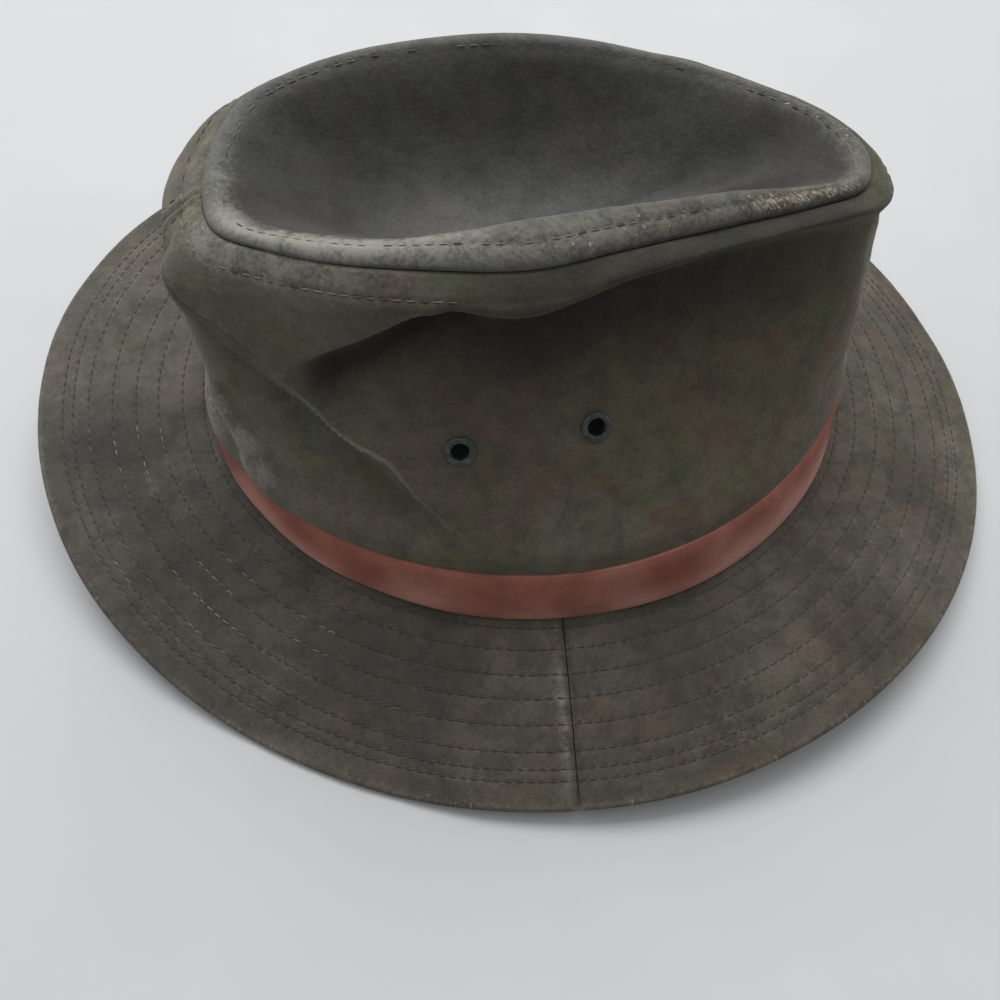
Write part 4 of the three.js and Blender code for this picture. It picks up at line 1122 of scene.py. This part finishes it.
def stitch_mesh_parts(path, normals, rub, phase=0.5, seed=0, size=1.0, shown=None):
    """Stitches along a line of points: four-sided, fat in the middle and sunk at both ends. Their
    middles stand a pitch apart by the line's own length. shown is the share of them that has not worn
    away along the line. Gives points, faces and rub values."""
    rng = np.random.default_rng(seed)
    run = run_along(path)
    middles = np.arange(phase * STITCH_PITCH + STITCH_PITCH / 2, run[-1] - STITCH_PITCH / 3, STITCH_PITCH)
    shares = np.array((-0.5, -0.36, 0, 0.36, 0.5)) * STITCH_LENGTH
    lifts = np.array((-0.32, 0.02, 0.15, 0.02, -0.32)) * MM
    sizes = np.array((0.6, 0.95, 1.0, 0.95, 0.6)) * STITCH_RADIUS * size * MM
    if shown is not None:
        middles = middles[rng.uniform(0, 1, len(middles)) < np.interp(middles, run, shown)]
    slant = rng.normal(0, 0.05, (len(middles), 1)) * MM
    at = middles[:, None] + shares[None]

    def read(values):
        return np.stack([np.interp(at, run, values[:, k]) for k in range(3)], -1)

    centre = read(path)
    up = read(normals)
    side = unit(np.cross(up, unit(np.gradient(centre, axis=1))))
    centre = centre + up * lifts[None, :, None] + side * (slant * (shares / STITCH_LENGTH))[..., None]
    angles = np.radians((45, 135, 225, 315))
    ring = (side[:, :, None] * np.cos(angles)[None, None, :, None]
            + up[:, :, None] * np.sin(angles)[None, None, :, None])
    points = centre[:, :, None] + ring * sizes[None, :, None, None]
    count = len(middles)
    base = (np.arange(count) * STITCH_POINTS)[:, None, None]
    r = np.arange(4)[None, :, None] * 4
    s = np.arange(4)[None, None, :]
    t = (s + 1) % 4
    quads = np.stack([base + r + s, base + r + 4 + s, base + r + 4 + t, base + r + t], -1).reshape(-1, 4)
    ends = np.concatenate([base[:, 0] + np.array((3, 2, 1, 0))[::-1][None],
                           base[:, 0] + 16 + np.array((3, 2, 1, 0))[None]])
    amount = np.clip(np.interp(middles, run, rub) * rng.uniform(0.1, 1.7, count), 0, 1.2)
    return points.reshape(-1, 3), np.concatenate([quads, ends]), np.repeat(amount, STITCH_POINTS)


def stitch_object(name, parts, material):
    """Joins rows of stitches into one piece."""
    points, faces, rubs, start = [], [], [], 0
    for part_points, part_faces, part_rub in parts:
        points.append(part_points)
        faces.append(part_faces + start)
        rubs.append(part_rub)
        start += len(part_points)
    mesh = bpy.data.meshes.new(name)
    mesh.from_pydata(np.concatenate(points).tolist(), [], np.concatenate(faces).tolist())
    mesh.polygons.foreach_set("use_smooth", np.ones(len(mesh.polygons), bool))
    values = np.concatenate(rubs).astype(np.float32)
    mesh.attributes.new("rub", "FLOAT", "POINT").data.foreach_set("value", values)
    mesh.materials.append(material)
    made = bpy.data.objects.new(name, mesh)
    bpy.context.scene.collection.objects.link(made)
    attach(made, "root")
    return made


thread = thread_material("stitching_thread", THREAD, THREAD_WORN)
THREAD_RUB = [(0, .10), (40, .15), (90, .15), (150, .25), (185, .4), (205, .45), (222, .6), (240, .7),
              (252, .35), (268, .15), (285, .10), (330, .12)]
ROW_POINTS = 900
BACK_SEAM_POINTS = 260
top_parts, under_parts = [], []
for row, share in enumerate(STITCH_ROWS / BRIM_REACH):
    for start in (SIDE_SEAM_TURN - 360, SIDE_SEAM_TURN - 180):
        turns = np.linspace(start, start + 180, ROW_POINTS)
        shares = np.full(ROW_POINTS, share)
        line = brim_inward(turns, shares)
        run = run_along(line)
        level = brim_relief(turns, shares, run, line) * MM
        up = np.tile((0.0, 0.0, 1.0), (ROW_POINTS, 1))
        over = line.copy()
        over[:, 2] += level
        patchy = np.clip(0.5 + 0.8 * ripples(line, 30 * MM, 41), 0, 1.6)
        rub = table_at(turns, THREAD_RUB) * patchy * hump(row - 3.5, 4.5)
        top_parts.append(stitch_mesh_parts(over, up, rub, 0, 50 + row))
        below = brim_inward(turns, shares)
        below[:, 2] -= BRIM_THICK + brim_relief(turns, shares, run, over + (0, 0, 0.2)) * MM
        below[:, 2] = np.maximum(below[:, 2], STITCH_RADIUS * MM)
        under_parts.append(stitch_mesh_parts(below, -up, rub * 0.4, 0, 70 + row))
stitch_object("brim_stitches_top", top_parts, thread)
stitch_object("brim_stitches_under", under_parts, thread)

wall_line_points, wall_line_normals = dressed(wall_point, wall_relief, 1, full_turns, stitch_up)
tip_line_points, tip_line_normals = dressed(tip_point, tip_relief, 0, full_turns, tip_stitch_in)
wall_thread_rub = table_at(full_turns, [(0, .3), (90, .3), (180, .6), (200, .9), (235, .9), (255, .5),
                                        (270, .2), (330, .2)])
tip_thread_rub = table_at(full_turns, [(0, .7), (50, .6), (120, .5), (160, .6), (190, .7), (230, 1.1),
                                       (275, 1.0), (300, .9), (330, .7)])
wall_shown = table_at(full_turns, [(0, 1), (200, 1), (212, .8), (240, .9), (256, .8), (262, 0), (345, 0)])
tip_shown = table_at(full_turns, [(0, .8), (30, .5), (60, .15), (110, .15), (140, .6), (170, .7), (205, .6),
                                  (240, .9), (302, .8), (312, 0), (350, 0)])
seam_parts = [stitch_mesh_parts(wall_line_points, wall_line_normals, wall_thread_rub, 0, 91, 0.9, wall_shown),
              stitch_mesh_parts(tip_line_points, tip_line_normals, tip_thread_rub, 0, 92, 0.75, tip_shown)]
for shift in (-2.9, 2.9):
    ups_line = np.linspace(0.93, 0.22, BACK_SEAM_POINTS)
    turns = np.full(BACK_SEAM_POINTS, BACK_SEAM_TURN + shift)
    line, up = dressed(wall_point, wall_relief, 1, turns, ups_line)
    seam_parts.append(stitch_mesh_parts(line, up, np.full(BACK_SEAM_POINTS, 0.4), 0, 95))
stitch_object("crown_stitches", seam_parts, thread)


# The band. A strip of smooth reddish brown leather laid round the foot of the wall, which bulges a
# little over its upper edge. Its colour is painted darker towards the top, as the wall's shade.
BAND_THICK = 1.5 * MM
BAND_ROUND = 0.5 * MM
BAND_DARK = (0.265, 0.090, 0.063)
BAND_MIDDLE = (0.385, 0.138, 0.097)
BAND_PALE = (0.600, 0.310, 0.250)

material, nodes, inputs = new_material("brown_band_leather")
place = place_of(nodes)
rub = mark_of(nodes, "rub")
cloud = place.noise(55, 3, 0.6, 0.3)
grain = place.noise(900, 3, 0.6)
pores = place.node("ShaderNodeTexVoronoi", {"feature": "F1"}, {"Vector": place, "Scale": 1300})
scratches = place.stretched((1, 1, 5), (0.2, 0.1, 0.3)).noise(260, 3, 0.7)
colour = cloud.ramp(0.3, 0.72).blend(BAND_DARK, BAND_MIDDLE)
colour = (rub * (0.6 + 0.8 * cloud)).ramp(0.2, 1.1).blend(colour, BAND_PALE)
colour = (scratches.ramp(0.66, 0.8) * 0.4).blend(colour, BAND_PALE)
colour = nodes.node("ShaderNodeVectorMath", {"operation": "SCALE"},
                    {0: colour, "Scale": 0.82 + 0.36 * grain})
feed(nodes, inputs, "Base Color", colour)
feed(nodes, inputs, "Roughness", 0.55 + 0.2 * grain)
inputs["Specular IOR Level"].default_value = 0.35
bumped(nodes, inputs, grain * 0.5 + pores * 0.3 + cloud * 0.8, 0.18 * MM, 0.6)
band_leather = material

BAND_COLUMNS = 600
BAND_ROWS = 15
BAND_INNER_SHARES = (1, 0.66, 0.33, 0)
band_shares = np.linspace(0, 1, BAND_ROWS)
band_turns = np.linspace(0, 360, BAND_COLUMNS, endpoint=False)


def band_line(share, proud):
    """The wall's line at a share of the band's width, moved straight out by its clearance and more."""
    up = up_at_rise(band_turns, SEWN + BAND_WIDTH * share)
    wave = 0.18 * MM * ripples(wall_point(band_turns, up), 28 * MM, 61)
    return wall_point(band_turns, up) + outward(band_turns) * (SEWN + proud + wave)[..., None]


band_rows = [band_line(share, np.full(BAND_COLUMNS, BAND_THICK - BAND_ROUND * abs(2 * share - 1) ** 14))
             for share in band_shares]
band_rows += [band_line(share, np.zeros(BAND_COLUMNS)) for share in BAND_INNER_SHARES]
band_grid = np.stack(band_rows)
share_grid = np.append(band_shares, BAND_INNER_SHARES)[:, None]
# Paler low on the band and darker towards its top, painted shade under the wall; the table makes it paler at
# some turns.
band_rub_and_shade = np.clip(0.6 - 0.5 * share_grid, 0, 1) * table_at(
    band_turns[None], [(0, 1), (20, .6), (60, .4), (180, .4), (200, .7), (218, 1.4), (240, .9), (275, .9),
                       (300, 1.7), (335, 2.6), (350, 1)])
band_rub_and_shade = band_rub_and_shade + 0.25 * ripples(band_grid, 30 * MM, 62)
band = grid_object("hat_band_strip", band_grid, True, band_leather, None, {"rub": band_rub_and_shade})
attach(band, "root")
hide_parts("hat_band")


# The eyelets. Turned and rolled rings of dull plated metal, two in each side of the wall. The flange is
# drawn tight on the leather, and the barrel goes through it to a rolled rim inside.
METAL_DARK = (0.052, 0.064, 0.058)
METAL_PALE = (0.155, 0.185, 0.165)
material, nodes, inputs = new_material("dull_eyelet_metal")
place = place_of(nodes)
bloom = place.noise(700, 4, 0.65)
feed(nodes, inputs, "Base Color", bloom.ramp(0.3, 0.75).blend(METAL_DARK, METAL_PALE))
feed(nodes, inputs, "Roughness", 0.42 + 0.3 * bloom)
inputs["Metallic"].default_value = 0.75
bumped(nodes, inputs, bloom, 0.05 * MM, 0.6)
eyelet_metal = material

EYELET_FACE = 0.8 * MM
EYELET_SIDES = 48


def eyelet_object(name, centre, normal):
    """A ring: a domed flange, the barrel and a smaller rolled rim behind, turned about its axis."""
    hole = EYELET_HOLE / 2
    flange = EYELET_FLANGE / 2
    lean = np.radians(np.linspace(200, -20, 14))
    half = (flange - hole) / 2
    face = np.stack([hole + half + half * np.cos(lean),
                     0.15 * MM + EYELET_FACE * (0.35 + 0.65 * np.sin(lean))], 1)
    face[:, 1] = np.maximum(face[:, 1], 0.05 * MM)
    barrel = np.array([(EYELET_BARREL / 2, 0.05 * MM), (EYELET_BARREL / 2, -WALL_THICK - 0.1 * MM)])
    lean = np.radians(np.linspace(10, -190, 10))
    back = np.stack([hole + half * 0.85 + half * 0.85 * np.cos(lean),
                     -WALL_THICK - 0.25 * MM + EYELET_FACE * 0.6 * np.sin(lean)], 1)
    profile = np.concatenate([face, barrel, back])
    spin = np.linspace(0, 2 * math.pi, EYELET_SIDES, endpoint=False)
    first = unit(np.cross(normal, (0, 0, 1.0)))
    second = np.cross(normal, first)
    beside = np.cos(spin)[:, None] * first + np.sin(spin)[:, None] * second
    grid = (centre + profile[:, 0][:, None, None] * beside[None]
            + profile[:, 1][:, None, None] * normal[None, None])
    return grid_object(name, grid, True, eyelet_metal)


for name, (centre, normal) in eyelets.items():
    ring = eyelet_object(f"eyelet_ring_{name}", centre, normal)
    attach(ring, "root")
    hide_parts(f"eyelet_{name}")
